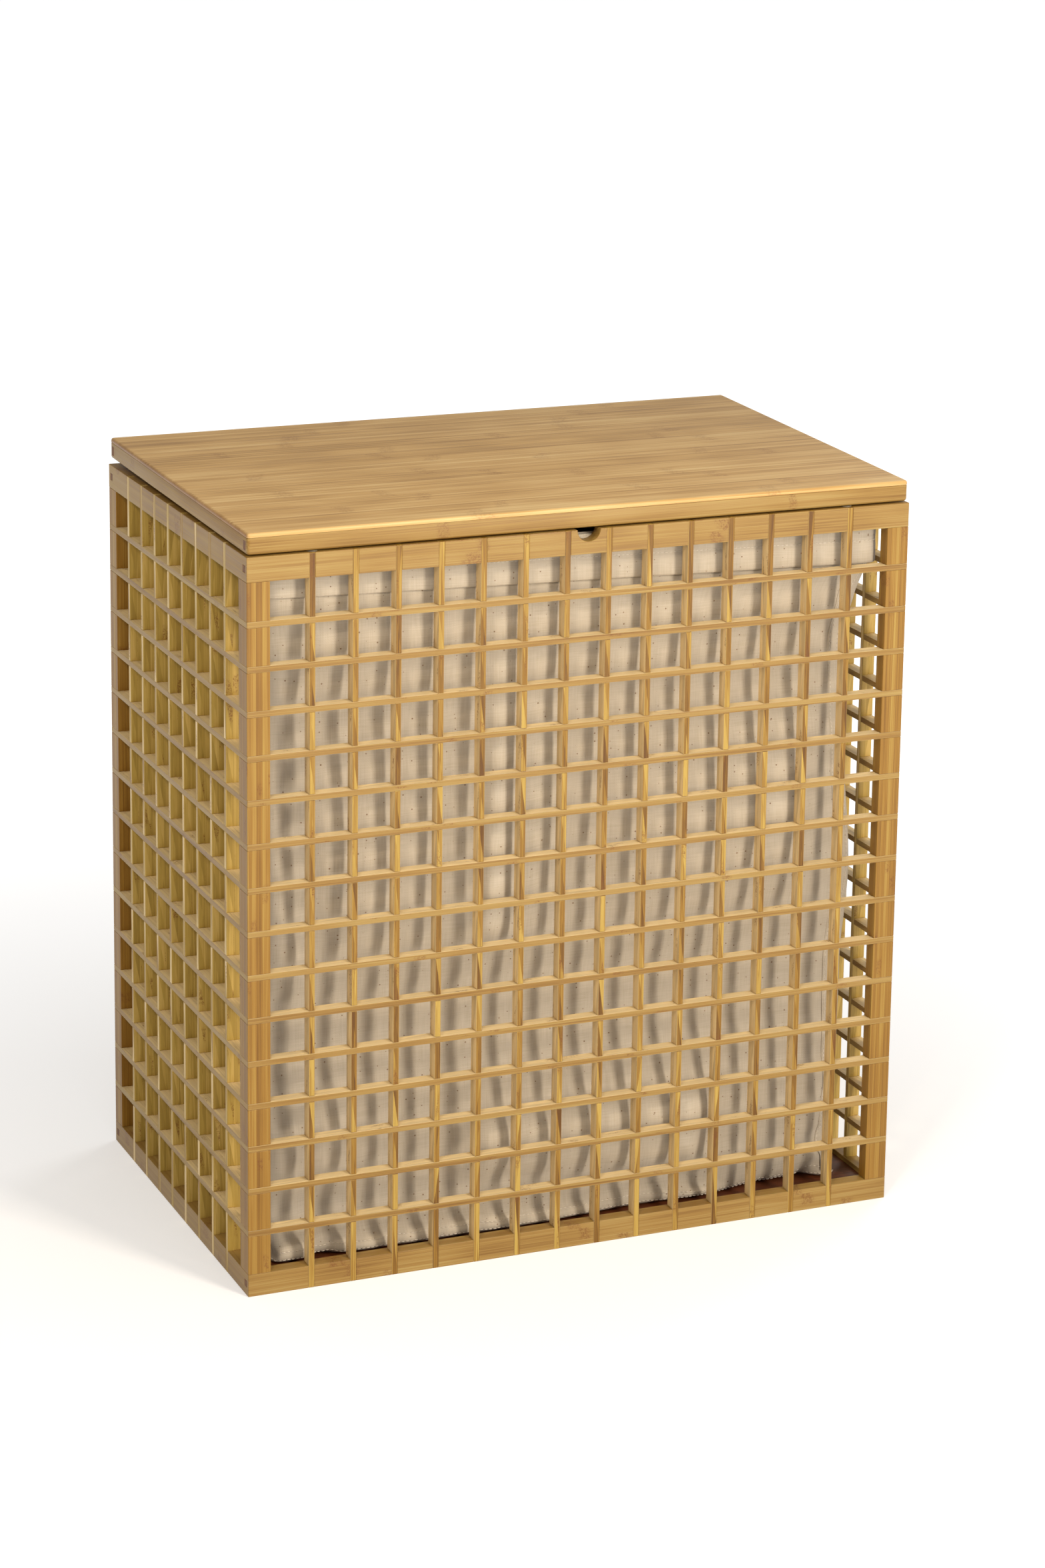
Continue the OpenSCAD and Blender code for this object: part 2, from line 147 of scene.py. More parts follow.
def ripple(seed, *place):
    """Smooth random height from -1 to 1 at a place of up to three coordinates."""
    spot = list(place) + [0.0] * (3 - len(place))
    return noise.noise(Vector(spot) + Vector((seed * 17.3, seed * 5.1, seed * 9.7)))


# ---- Bamboo -------------------------------------------------------------------------------
# Carbonised bamboo, planed and given a thin satin varnish. The eye gets straight fibre streaks
# in a light and a darker tone, glued strips that each have their own tone, and a brown node
# wherever the culm had one.
def bamboo(name, grain, layers, strip_mm, tones, node_tone, weights, roughness, node_gap=280.0,
           node_mm=10.0, node_depth=0.5, islands=False, turned=None):
    """A bamboo finish whose fibres run along one axis and whose strips lie side by side along
    another. tones are its dark, middle and light colours, and weights say how much the strip,
    streak, fibre, blotch and piece each move the tone. Culm nodes come every node_gap, node_mm
    long, and node_depth says how dark their marks are. turned names an axis, a colour and a
    share: faces that look along that axis take so much of the colour."""
    material, tree = new_material(name)
    place = add(tree, "ShaderNodeTexCoord").outputs["Object"]
    if islands:
        piece = add(tree, "ShaderNodeNewGeometry").outputs["Random Per Island"]
    else:
        piece = add(tree, "ShaderNodeObjectInfo").outputs["Random"]
    apart = add(tree, "ShaderNodeVectorMath", {"operation": "SCALE"},
                Vector=(3.1, 4.7, 5.9), Scale=piece).outputs[0]
    own_place = add(tree, "ShaderNodeVectorMath", {"operation": "ADD"}, in0=place, in1=apart).outputs[0]

    def patterned(along, across, detail):
        """Noise that is this many millimetres long and wide."""
        scale = [1 / (across * MM)] * 3
        scale[AXES[grain]] = 1 / (along * MM)
        stretched = add(tree, "ShaderNodeVectorMath", {"operation": "MULTIPLY"},
                        in0=own_place, in1=tuple(scale)).outputs[0]
        cloud = add(tree, "ShaderNodeTexNoise", Vector=stretched, Scale=1.0, Detail=detail,
                    Roughness=0.6).outputs["Fac"]
        return add(tree, "ShaderNodeMapRange", Value=cloud, From_Min=0.3, From_Max=0.7).outputs[0]

    # Real fibre bundles are about 0.4 mm wide; they are drawn at 1 mm so that they show.
    fibre = patterned(90, 0.9, 1)
    streak = patterned(500, 2.8, 1)
    blotch = patterned(70, 22, 1)

    # Each glued strip has a tone of its own, and a thin dark glue line beside it.
    split = add(tree, "ShaderNodeSeparateXYZ", Vector=own_place).outputs
    across_strips = add(tree, "ShaderNodeMath", {"operation": "DIVIDE"},
                        in0=split[AXES[layers]], in1=strip_mm * MM).outputs[0]
    strip_number = add(tree, "ShaderNodeMath", {"operation": "FLOOR"}, in0=across_strips).outputs[0]
    strip = add(tree, "ShaderNodeTexWhiteNoise", {"noise_dimensions": "1D"},
                W=strip_number).outputs["Value"]
    side = add(tree, "ShaderNodeMath", {"operation": "PINGPONG"}, in0=across_strips, in1=0.5).outputs[0]
    glue = add(tree, "ShaderNodeMapRange", {"interpolation_type": "SMOOTHSTEP"}, Value=side,
               From_Min=0.25 / strip_mm, From_Max=0.0, To_Min=0.0, To_Max=1.0).outputs[0]

    tone = None
    for amount, pattern in zip(weights, (strip, streak, fibre, blotch, piece)):
        centred = add(tree, "ShaderNodeMath", {"operation": "MULTIPLY_ADD"}, in0=pattern,
                      in1=amount, in2=-amount / 2 + (0.5 if tone is None else 0.0)).outputs[0]
        tone = centred if tone is None else add(tree, "ShaderNodeMath", {"operation": "ADD"},
                                                in0=tone, in1=centred).outputs[0]
    tone = add(tree, "ShaderNodeMath", {"operation": "MULTIPLY_ADD", "use_clamp": True}, in0=glue,
               in1=-0.35 * min(1.0, weights[0] * 2), in2=tone).outputs[0]
    ramp = add(tree, "ShaderNodeValToRGB", Fac=tone)
    stops = ramp.color_ramp.elements
    stops.new(0.5)
    for stop, colour in zip(stops, tones):
        stop.color = (*linear(colour), 1)
    face_colour = ramp.outputs["Color"]
    if turned:
        facing = add(tree, "ShaderNodeSeparateXYZ", Vector=add(tree, "ShaderNodeNewGeometry").outputs[
            "True Normal"]).outputs[AXES[turned[0]]]
        turned_share = add(tree, "ShaderNodeMath", {"operation": "MULTIPLY"}, in0=facing,
                           in1=add(tree, "ShaderNodeMath", {"operation": "MULTIPLY"}, in0=facing,
                                   in1=turned[2]).outputs[0]).outputs[0]
        # Faces that look along the turned axis take its colour. On the slats this is painted light: the
        # uprights' sides and the crossbars' tops are paler for the light that falls on them. On the lid
        # board it is the real end grain of its cut ends. The other tone keeps the fibres' own light and dark.
        other = add(tree, "ShaderNodeMix", {"data_type": "RGBA"}, in0=tone,
                    in6=(*(0.72 * part for part in linear(turned[1])), 1),
                    in7=(*(1.12 * part for part in linear(turned[1])), 1)).outputs[2]
        face_colour = add(tree, "ShaderNodeMix", {"data_type": "RGBA"}, in0=turned_share,
                          in6=face_colour, in7=other).outputs[2]

    # Culm nodes: a cluster of short curly marks in each strip, each strip's in its own place.
    shuffle = add(tree, "ShaderNodeMath", {"operation": "ADD"}, in0=strip, in1=piece).outputs[0]
    wander = add(tree, "ShaderNodeMath", {"operation": "MULTIPLY_ADD"}, in0=blotch, in1=12 * MM,
                 in2=split[AXES[grain]]).outputs[0]
    along = add(tree, "ShaderNodeMath", {"operation": "DIVIDE"}, in0=wander, in1=node_gap * MM).outputs[0]
    turn = add(tree, "ShaderNodeMath", {"operation": "MULTIPLY_ADD"}, in0=shuffle, in1=7.37,
               in2=along).outputs[0]
    near = add(tree, "ShaderNodeMath", {"operation": "PINGPONG"}, in0=turn, in1=0.5).outputs[0]
    cluster = add(tree, "ShaderNodeMapRange", {"interpolation_type": "SMOOTHSTEP"}, Value=near,
                  From_Min=0.6 * node_mm / node_gap, From_Max=0.25 * node_mm / node_gap).outputs[0]
    curls = add(tree, "ShaderNodeTexNoise", Vector=own_place, Scale=1 / (2.1 * MM), Detail=2.0,
                Distortion=1.6).outputs["Fac"]
    marks = add(tree, "ShaderNodeMapRange", Value=curls, From_Min=0.46, From_Max=0.62, To_Min=0.12,
                To_Max=1.0).outputs[0]
    band = add(tree, "ShaderNodeMath", {"operation": "MULTIPLY"}, in0=cluster, in1=marks).outputs[0]
    band = add(tree, "ShaderNodeMath", {"operation": "MULTIPLY"}, in0=band, in1=node_depth).outputs[0]
    colour = add(tree, "ShaderNodeMix", {"data_type": "RGBA"}, in0=band, in6=face_colour,
                 in7=(*linear(node_tone), 1)).outputs[2]

    gloss = add(tree, "ShaderNodeMapRange", Value=fibre, To_Min=roughness - 0.06,
                To_Max=roughness + 0.08).outputs[0]
    height = add(tree, "ShaderNodeMath", {"operation": "SUBTRACT"}, in0=fibre, in1=glue).outputs[0]
    relief = add(tree, "ShaderNodeBump", Strength=0.5, Distance=0.07 * MM, Height=height).outputs[0]
    shader = add(tree, "ShaderNodeBsdfPrincipled", Base_Color=colour, Roughness=gloss, Normal=relief,
                 IOR=1.5, Specular_IOR_Level=0.28, Coat_Weight=0.06, Coat_Roughness=0.35)
    add(tree, "ShaderNodeOutputMaterial", Surface=shader.outputs[0])
    return material


def end_grain(name, tones, roughness):
    """Bamboo cut across its fibres, along X: the eye gets dark fibre bundles as dots."""
    material, tree = new_material(name)
    place = add(tree, "ShaderNodeTexCoord").outputs["Object"]
    # Real bundles are 0.5 mm apart; they are drawn 0.9 mm apart so that they show.
    bundles = add(tree, "ShaderNodeTexVoronoi", Vector=place, Scale=1 / (0.9 * MM)).outputs["Distance"]
    cloud = add(tree, "ShaderNodeTexNoise", Vector=place, Scale=1 / (4 * MM), Detail=2.0).outputs["Fac"]
    spots = add(tree, "ShaderNodeMapRange", Value=bundles, From_Min=0.25, From_Max=0.5).outputs[0]
    tone = add(tree, "ShaderNodeMath", {"operation": "MULTIPLY"}, in0=spots, in1=cloud).outputs[0]
    colour = add(tree, "ShaderNodeMix", {"data_type": "RGBA"}, in0=tone, in6=(*linear(tones[0]), 1),
                 in7=(*linear(tones[1]), 1)).outputs[2]
    relief = add(tree, "ShaderNodeBump", Strength=0.4, Distance=0.08 * MM, Height=tone).outputs[0]
    shader = add(tree, "ShaderNodeBsdfPrincipled", Base_Color=colour, Roughness=roughness, Normal=relief,
                 IOR=1.5)
    add(tree, "ShaderNodeOutputMaterial", Surface=shader.outputs[0])
    return material


# ---- Cloth, thread and tape ---------------------------------------------------------------
def canvas(name, tones, speck_tone, thread_mm, roughness):
    """Unbleached cotton and linen canvas, plain woven. The eye gets a fine over and under grid,
    thicker slub threads both ways and small dark seed specks. It reads the cloth's own
    coordinates, in metres of cloth, from the ClothCut map."""
    material, tree = new_material(name)
    cut = add(tree, "ShaderNodeUVMap", {"uv_map": "ClothCut"}).outputs[0]

    def slubs(along, across, seed):
        """Long thin threads of another tone, in one direction of the weave."""
        scaled = add(tree, "ShaderNodeVectorMath", {"operation": "MULTIPLY"}, in0=cut,
                     in1=(1 / (along * MM), 1 / (across * MM), 1.0)).outputs[0]
        return add(tree, "ShaderNodeTexNoise", {"noise_dimensions": "4D"}, Vector=scaled, W=seed,
                   Scale=1.0, Detail=2.0).outputs["Fac"]

    warp = slubs(0.8, 22, 1.0)
    weft = slubs(22, 0.8, 2.0)
    threads = add(tree, "ShaderNodeMath", {"operation": "ADD"}, in0=warp, in1=weft).outputs[0]
    split = add(tree, "ShaderNodeSeparateXYZ", Vector=cut).outputs
    waves = []
    for axis in (0, 1):
        turn = add(tree, "ShaderNodeMath", {"operation": "MULTIPLY"}, in0=split[axis],
                   in1=math.pi / (thread_mm * MM)).outputs[0]
        waves.append(add(tree, "ShaderNodeMath", {"operation": "SINE"}, in0=turn).outputs[0])
    weave = add(tree, "ShaderNodeMath", {"operation": "MULTIPLY"}, in0=waves[0], in1=waves[1]).outputs[0]
    uneven = add(tree, "ShaderNodeMapRange", Value=threads, From_Min=0.7, From_Max=1.3).outputs[0]
    tone = add(tree, "ShaderNodeMath", {"operation": "MULTIPLY_ADD", "use_clamp": True}, in0=weave,
               in1=0.025, in2=uneven).outputs[0]
    cloth = add(tree, "ShaderNodeMix", {"data_type": "RGBA"}, in0=tone, in6=(*linear(tones[0]), 1),
                in7=(*linear(tones[1]), 1)).outputs[2]
    # Cotton seed specks, up to 1 mm, in fewer than half of the 7 mm cells of cloth.
    cells = add(tree, "ShaderNodeTexVoronoi", {"voronoi_dimensions": "2D"}, Vector=cut,
                Scale=1 / (7 * MM))
    lucky = add(tree, "ShaderNodeSeparateColor", Color=cells.outputs["Color"]).outputs[0]
    size = add(tree, "ShaderNodeMath", {"operation": "MULTIPLY_ADD"}, in0=lucky, in1=0.2,
               in2=-0.11).outputs[0]
    inside = add(tree, "ShaderNodeMath", {"operation": "LESS_THAN"}, in0=cells.outputs["Distance"],
                 in1=size).outputs[0]
    speck = add(tree, "ShaderNodeMath", {"operation": "MULTIPLY"}, in0=inside, in1=0.8).outputs[0]
    colour = add(tree, "ShaderNodeMix", {"data_type": "RGBA"}, in0=speck, in6=cloth,
                 in7=(*linear(speck_tone), 1)).outputs[2]
    height = add(tree, "ShaderNodeMath", {"operation": "MULTIPLY_ADD"}, in0=uneven, in1=1.5,
                 in2=weave).outputs[0]
    relief = add(tree, "ShaderNodeBump", Strength=0.2, Distance=0.05 * MM, Height=height).outputs[0]
    shader = add(tree, "ShaderNodeBsdfPrincipled", Base_Color=colour, Roughness=roughness, Normal=relief,
                 Sheen_Weight=0.2, Sheen_Roughness=0.5, Specular_IOR_Level=0.25)
    add(tree, "ShaderNodeOutputMaterial", Surface=shader.outputs[0])
    return material


def spun_thread(name, tone, roughness):
    """Spun cotton sewing thread: the eye gets a soft matt twist, lighter than the cloth."""
    material, tree = new_material(name)
    place = add(tree, "ShaderNodeTexCoord").outputs["Object"]
    twist = add(tree, "ShaderNodeTexNoise", Vector=place, Scale=1 / (0.4 * MM), Detail=1.0).outputs["Fac"]
    dark = tuple(0.7 * part for part in linear(tone))
    colour = add(tree, "ShaderNodeMix", {"data_type": "RGBA"}, in0=twist, in6=(*dark, 1),
                 in7=(*linear(tone), 1)).outputs[2]
    shader = add(tree, "ShaderNodeBsdfPrincipled", Base_Color=colour, Roughness=roughness,
                 Sheen_Weight=0.3)
    add(tree, "ShaderNodeOutputMaterial", Surface=shader.outputs[0])
    return material


def tape_pile(name, tone, pile_mm, roughness):
    """Woven nylon hook or loop tape: the eye gets an even field of small tufts."""
    material, tree = new_material(name)
    place = add(tree, "ShaderNodeTexCoord").outputs["Object"]
    tufts = add(tree, "ShaderNodeTexVoronoi", Vector=place, Scale=1 / (pile_mm * MM),
                Randomness=0.6).outputs["Distance"]
    # The colour darkens away from each tuft's middle: painted shade in the hollows between the tufts.
    dark = tuple(0.6 * part for part in linear(tone))
    colour = add(tree, "ShaderNodeMix", {"data_type": "RGBA"}, in0=tufts, in6=(*linear(tone), 1),
                 in7=(*dark, 1)).outputs[2]
    relief = add(tree, "ShaderNodeBump", {"invert": True}, Strength=0.7, Distance=0.3 * MM,
                 Height=tufts).outputs[0]
    shader = add(tree, "ShaderNodeBsdfPrincipled", Base_Color=colour, Roughness=roughness, Normal=relief,
                 Sheen_Weight=0.3)
    add(tree, "ShaderNodeOutputMaterial", Surface=shader.outputs[0])
    return material


# ---- Metal, board and plastic -------------------------------------------------------------
def plated_steel(name, tone, roughness, scratch_mm):
    """Stamped steel with a bright nickel plate. The eye gets a grey metal with fine rolling
    marks along X and small dull patches."""
    material, tree = new_material(name)
    place = add(tree, "ShaderNodeTexCoord").outputs["Object"]
    fine = 1 / (scratch_mm * MM)
    scratches = add(tree, "ShaderNodeVectorMath", {"operation": "MULTIPLY"}, in0=place,
                    in1=(fine / 30, fine, fine)).outputs[0]
    marks = add(tree, "ShaderNodeTexNoise", Vector=scratches, Scale=1.0, Detail=2.0).outputs["Fac"]
    cloud = add(tree, "ShaderNodeTexNoise", Vector=place, Scale=1 / (6 * MM), Detail=2.0).outputs["Fac"]
    both = add(tree, "ShaderNodeMath", {"operation": "MULTIPLY"}, in0=marks, in1=cloud).outputs[0]
    gloss = add(tree, "ShaderNodeMapRange", Value=both, From_Max=0.5, To_Min=roughness - 0.08,
                To_Max=roughness + 0.12).outputs[0]
    dull = tuple(0.8 * part for part in linear(tone))
    colour = add(tree, "ShaderNodeMix", {"data_type": "RGBA"}, in0=cloud, in6=(*dull, 1),
                 in7=(*linear(tone), 1)).outputs[2]
    shader = add(tree, "ShaderNodeBsdfPrincipled", Base_Color=colour, Roughness=gloss, Metallic=1.0)
    add(tree, "ShaderNodeOutputMaterial", Surface=shader.outputs[0])
    return material


def stain_and_shade_board(name, tones, roughness):
    """Thin plywood in a very dark reddish brown, partly a stain wiped on and partly painted shade from the
    bag that stands on it. The eye gets long open pores along X in a deep brown that is thinner in places."""
    material, tree = new_material(name)
    place = add(tree, "ShaderNodeTexCoord").outputs["Object"]
    grain = add(tree, "ShaderNodeVectorMath", {"operation": "MULTIPLY"}, in0=place,
                in1=(1 / (45 * MM), 1 / (1.6 * MM), 1 / (1.6 * MM))).outputs[0]
    pores = add(tree, "ShaderNodeTexNoise", Vector=grain, Scale=1.0, Detail=3.0).outputs["Fac"]
    wiped = add(tree, "ShaderNodeTexNoise", Vector=place, Scale=1 / (60 * MM), Detail=1.0).outputs["Fac"]
    tone = add(tree, "ShaderNodeMath", {"operation": "MULTIPLY_ADD", "use_clamp": True}, in0=wiped,
               in1=0.5, in2=add(tree, "ShaderNodeMath", {"operation": "MULTIPLY_ADD"}, in0=pores, in1=1.4,
                                in2=-0.45).outputs[0]).outputs[0]
    colour = add(tree, "ShaderNodeMix", {"data_type": "RGBA"}, in0=tone, in6=(*linear(tones[0]), 1),
                 in7=(*linear(tones[1]), 1)).outputs[2]
    relief = add(tree, "ShaderNodeBump", Strength=0.4, Distance=0.1 * MM, Height=pores).outputs[0]
    shader = add(tree, "ShaderNodeBsdfPrincipled", Base_Color=colour, Roughness=roughness, Normal=relief)
    add(tree, "ShaderNodeOutputMaterial", Surface=shader.outputs[0])
    return material


def clear_rubber(name, tone, roughness):
    """Clear moulded polyurethane: the eye gets a soft glassy dome with faint haze."""
    material, tree = new_material(name)
    place = add(tree, "ShaderNodeTexCoord").outputs["Object"]
    haze = add(tree, "ShaderNodeTexNoise", Vector=place, Scale=1 / (1.5 * MM), Detail=2.0).outputs["Fac"]
    gloss = add(tree, "ShaderNodeMapRange", Value=haze, To_Min=roughness - 0.05,
                To_Max=roughness + 0.1).outputs[0]
    shader = add(tree, "ShaderNodeBsdfPrincipled", Base_Color=(*linear(tone), 1), Roughness=gloss,
                 IOR=1.49, Transmission_Weight=0.8)
    add(tree, "ShaderNodeOutputMaterial", Surface=shader.outputs[0])
    return material


def studio_floor(name, tone, near, far, near_glow, far_glow):
    """White acrylic sweep, lit from below and more so away from the object: the eye gets a matt
    white floor that stays white into the distance, with a trace of unevenness."""
    material, tree = new_material(name)
    place = add(tree, "ShaderNodeTexCoord").outputs["Object"]
    cloud = add(tree, "ShaderNodeTexNoise", Vector=place, Scale=1.5, Detail=2.0).outputs["Fac"]
    low = tuple(0.985 * part for part in linear(tone))
    colour = add(tree, "ShaderNodeMix", {"data_type": "RGBA"}, in0=cloud, in6=(*low, 1),
                 in7=(*linear(tone), 1)).outputs[2]
    reach = add(tree, "ShaderNodeVectorMath", {"operation": "LENGTH"}, in0=place).outputs["Value"]
    lit = add(tree, "ShaderNodeMapRange", {"interpolation_type": "SMOOTHSTEP"}, Value=reach,
              From_Min=near, From_Max=far, To_Min=near_glow, To_Max=far_glow).outputs[0]
    shader = add(tree, "ShaderNodeBsdfPrincipled", Base_Color=colour, Roughness=0.9,
                 Specular_IOR_Level=0.1, Emission_Color=(1, 1, 1, 1), Emission_Strength=lit)
    add(tree, "ShaderNodeOutputMaterial", Surface=shader.outputs[0])
    return material


# ---- Shape helpers ------------------------------------------------------------------------
def grid_faces(rows, columns, wrap_rows=False, wrap_columns=False):
    """The faces of a grid of points, and the (row, column) of each face's corners."""
    faces = []
    corners = []
    for r in range(rows if wrap_rows else rows - 1):
        for c in range(columns if wrap_columns else columns - 1):
            square = [(r, c), (r, c + 1), (r + 1, c + 1), (r + 1, c)]
            faces.append([(a % rows) * columns + b % columns for a, b in square])
            corners.extend(square)
    return faces, corners


def set_cloth_map(mesh, places):
    """Stores where each face corner lies on the flat cloth, in metres."""
    layer = mesh.uv_layers.new(name="ClothCut")
    layer.data.foreach_set("uv", [part * MM for place in places for part in place])


def smoothed(piece):
    """Adds a subdivision surface to a cloth piece."""
    subdivision = piece.modifiers.new("smooth_cloth", "SUBSURF")
    subdivision.levels = 1
    subdivision.render_levels = 1


# ---- Liner bag ----------------------------------------------------------------------------
def bag_half_width(z, right):
    """Half width of the bag at a height. It hangs from the cuff, draws in at a waist on its
    right, fills out lower down and stands on the floor panel."""
    if not right:
        return through([(14, 240), (250, 243), (450, 241), (520, 245)], z)
    return through([(14, 233), (100, 234.5), (190, 236), (270, 241.5), (360, 233), (410, 227), (450, 222.5),
                    (480, 229), (508, 241), (524, 245), (548, 245)], z)


def bag_half_depth(z):
    """Half depth of the bag at a height."""
    return through([(14, 141.5), (120, 139.5), (300, 141), (450, 142), (508, 147.5), (548, 147.5)], z)


def swell(value, middle, width):
    """A smooth swelling, 1 at its middle."""
    return math.exp(-((value - middle) / width) ** 2)


def bag_front_depth(x, z):
    """How far the front wall hangs behind the panel's face. It comes forward along an upright
    ridge left of the middle and in a belly low down, and falls back between them."""
    depth = through([(14, 22), (60, 24), (98, 25), (130, 31), (165, 37), (200, 36), (232, 31), (268, 25.5),
                     (320, 23), (370, 25), (425, 27), (462, 24), (492, 18.5), (510, 15.5), (548, 15)], z)
    depth += 7 * swell(x, 12, 42) * swell(z, 300, 60)
    depth += swell(x, -200, 50) * (4 * swell(z, 425, 40) - 5.5 * swell(z, 298, 42) - 8 * swell(z, 108, 34))
    depth += swell(x, 165, 45) * (3 * swell(z, 428, 34) - 4.5 * swell(z, 335, 40) + 3 * swell(z, 245, 30))
    depth -= 13 * smoothstep(-100, -62, x) * smoothstep(135, 95, x) * swell(z, 86, 34)
    ridge = swell(x, -64, 30) * smoothstep(225, 290, z) * smoothstep(512, 470, z)
    depth += ridge * (15.5 - depth)
    depth -= 7.5 * smoothstep(70, -30, x) * smoothstep(60, 20, z)
    return max(depth, 12.5)


def bag_ring(half_x, half_y, radius, long_count, short_count):
    """Columns round a rounded rectangle, front, right, back and left: how far round each is,
    its point and its outward direction."""
    columns = []
    done = 0.0
    for side in range(4):
        turn = math.pi / 2 * (side - 1)
        outward = Vector((math.cos(turn), math.sin(turn)))
        onward = Vector((-outward.y, outward.x))
        half, depth = (half_x, half_y) if side % 2 == 0 else (half_y, half_x)
        count = long_count if side % 2 == 0 else short_count
        straight = 2 * (half - radius)
        arc = radius * math.pi / 4
        length = straight + 2 * arc
        for i in range(count):
            d = length * i / count
            if d < arc:
                lean = math.pi / 4 - d / radius
                normal = outward * math.cos(lean) - onward * math.sin(lean)
                point = onward * (radius - half) + outward * (depth - radius) + normal * radius
            elif d <= arc + straight:
                normal = outward
                point = onward * (radius - half + d - arc) + outward * depth
            else:
                lean = (d - arc - straight) / radius
                normal = outward * math.cos(lean) + onward * math.sin(lean)
                point = onward * (half - radius) + outward * (depth - radius) + normal * radius
            columns.append((done + d, point, normal))
        done += length
    return columns, done


def bag_wall_point(column, z, top):
    """A point of the bag's wall in a column at a height, before the cloth is relaxed."""
    s, point, normal = column
    x = point.x * bag_half_width(z, point.x > 0) / bag_half_width(top, True)
    y = point.y * bag_half_depth(z) / bag_half_depth(top)
    free = smoothstep(top - 34, top - 90, z)
    low = smoothstep(260, 60, z)
    full = 1 + 1.1 * low * smoothstep(-60, -190, x)
    out = free * full * (1.9 * ripple(1, s / 70, z / 210) + 1.3 * ripple(2, s / 34, z / 95)
                         + 0.6 * ripple(3, s / 17, z / 48))
    if y < 0:
        front_y = bag_front_depth(x, z) - PANEL_REACH
        y += (front_y - y) * smoothstep(0.35, 1.0, -normal.y)
        # The lower edge stands back near the right corner, and in a notch at the left.
        near_right = smoothstep(95, 170, x) * smoothstep(214, 204, x)
        near_left = smoothstep(-207, -199, x) * smoothstep(-183, -194, x)
        out -= 14 * near_right * math.exp((14 - z) / 40) + 10 * near_left * math.exp((14 - z) / 26)
    return Vector((x + normal.x * out, y + normal.y * out, z))


def bag_base_points(edge, long_count, short_count, lift):
    """Points inside the bag's base, spread between its four edges, with soft wrinkles."""
    front = edge[:long_count + 1]
    right = edge[long_count:long_count + short_count + 1]
    back = edge[long_count + short_count:2 * long_count + short_count + 1][::-1]
    left = (edge[2 * long_count + short_count:] + edge[:1])[::-1]
    inside = []
    for j in range(1, short_count):
        v = j / short_count
        for i in range(1, long_count):
            u = i / long_count
            point = (front[i] * (1 - v) + back[i] * v + left[j] * (1 - u) + right[j] * u
                     - front[0] * (1 - u) * (1 - v) - front[-1] * u * (1 - v)
                     - back[0] * (1 - u) * v - back[-1] * u * v)
            broad, fine = ripple(5, point.x / 55, point.y / 40), ripple(6, point.x / 18, point.y / 24)
            point.z = lift + max(1.6 * abs(broad) + 0.5 * fine, -0.3)
            inside.append(point)
    return inside


def relax_cloth(piece, held, slack, frames, cap):
    """Lets the cloth hang a little: a short cloth run from the modelled shape, with some slack
    in it, in which no point moves further than the cap. Returns the new points."""
    group = piece.vertex_groups.new(name="held")
    for weight, indices in held.items():
        group.add(indices, weight, "REPLACE")
    cloth = piece.modifiers.new("hang", "CLOTH")
    cloth.settings.quality = 6
    cloth.settings.mass = 0.25
    cloth.settings.air_damping = 4
    cloth.settings.tension_stiffness = 25
    cloth.settings.compression_stiffness = 25
    cloth.settings.shear_stiffness = 12
    cloth.settings.bending_stiffness = 1.2
    cloth.settings.shrink_min = -slack
    cloth.settings.vertex_group_mass = group.name
    cloth.point_cache.frame_start = 1
    cloth.point_cache.frame_end = frames
    scene = bpy.context.scene
    for number in range(1, frames + 1):
        scene.frame_set(number)
    hung = piece.evaluated_get(bpy.context.evaluated_depsgraph_get())
    moved = [v.co.copy() for v in hung.data.vertices]
    piece.modifiers.remove(cloth)
    piece.vertex_groups.remove(group)
    scene.frame_set(1)
    points = []
    for vertex, place in zip(piece.data.vertices, moved):
        step = place - vertex.co
        if step.length > cap:
            step *= cap / step.length
        points.append(vertex.co + step)
    return points


class BagWall:
    """The finished wall of the bag, read at any distance round it and height share up it."""

    def __init__(self, points, rows, distances, around):
        self.rows = rows
        self.columns = len(distances)
        self.points = points
        self.distances = distances + [around]
        self.around = around

    def at(self, s, v):
        """The point and the outward direction at a distance round and a share up."""
        s = s % self.around
        row = min(max(v, 0.0), 0.9999) * (self.rows - 1)
        r = int(row)
        low = 0
        high = self.columns
        while high - low > 1:
            middle = (low + high) // 2
            if self.distances[middle] <= s:
                low = middle
            else:
                high = middle
        part = (s - self.distances[low]) / (self.distances[low + 1] - self.distances[low])
        after = (low + 1) % self.columns
        a, b = self.points[r * self.columns + low], self.points[r * self.columns + after]
        c, d = self.points[(r + 1) * self.columns + low], self.points[(r + 1) * self.columns + after]
        lower, upper = a.lerp(b, part), c.lerp(d, part)
        along = b.lerp(d, row - r) - a.lerp(c, row - r)
        return lower.lerp(upper, row - r), along.cross(upper - lower).normalized()


def cuff_low(x):
    """Height of the cuff's lower edge: it droops a little towards the right."""
    return 511.3 - 0.026 * x


def cuff_pucker(s):
    """How far the cuff's seam is pinched in or out at a distance round the bag."""
    return 0.22 * ripple(10, s / 3.0)


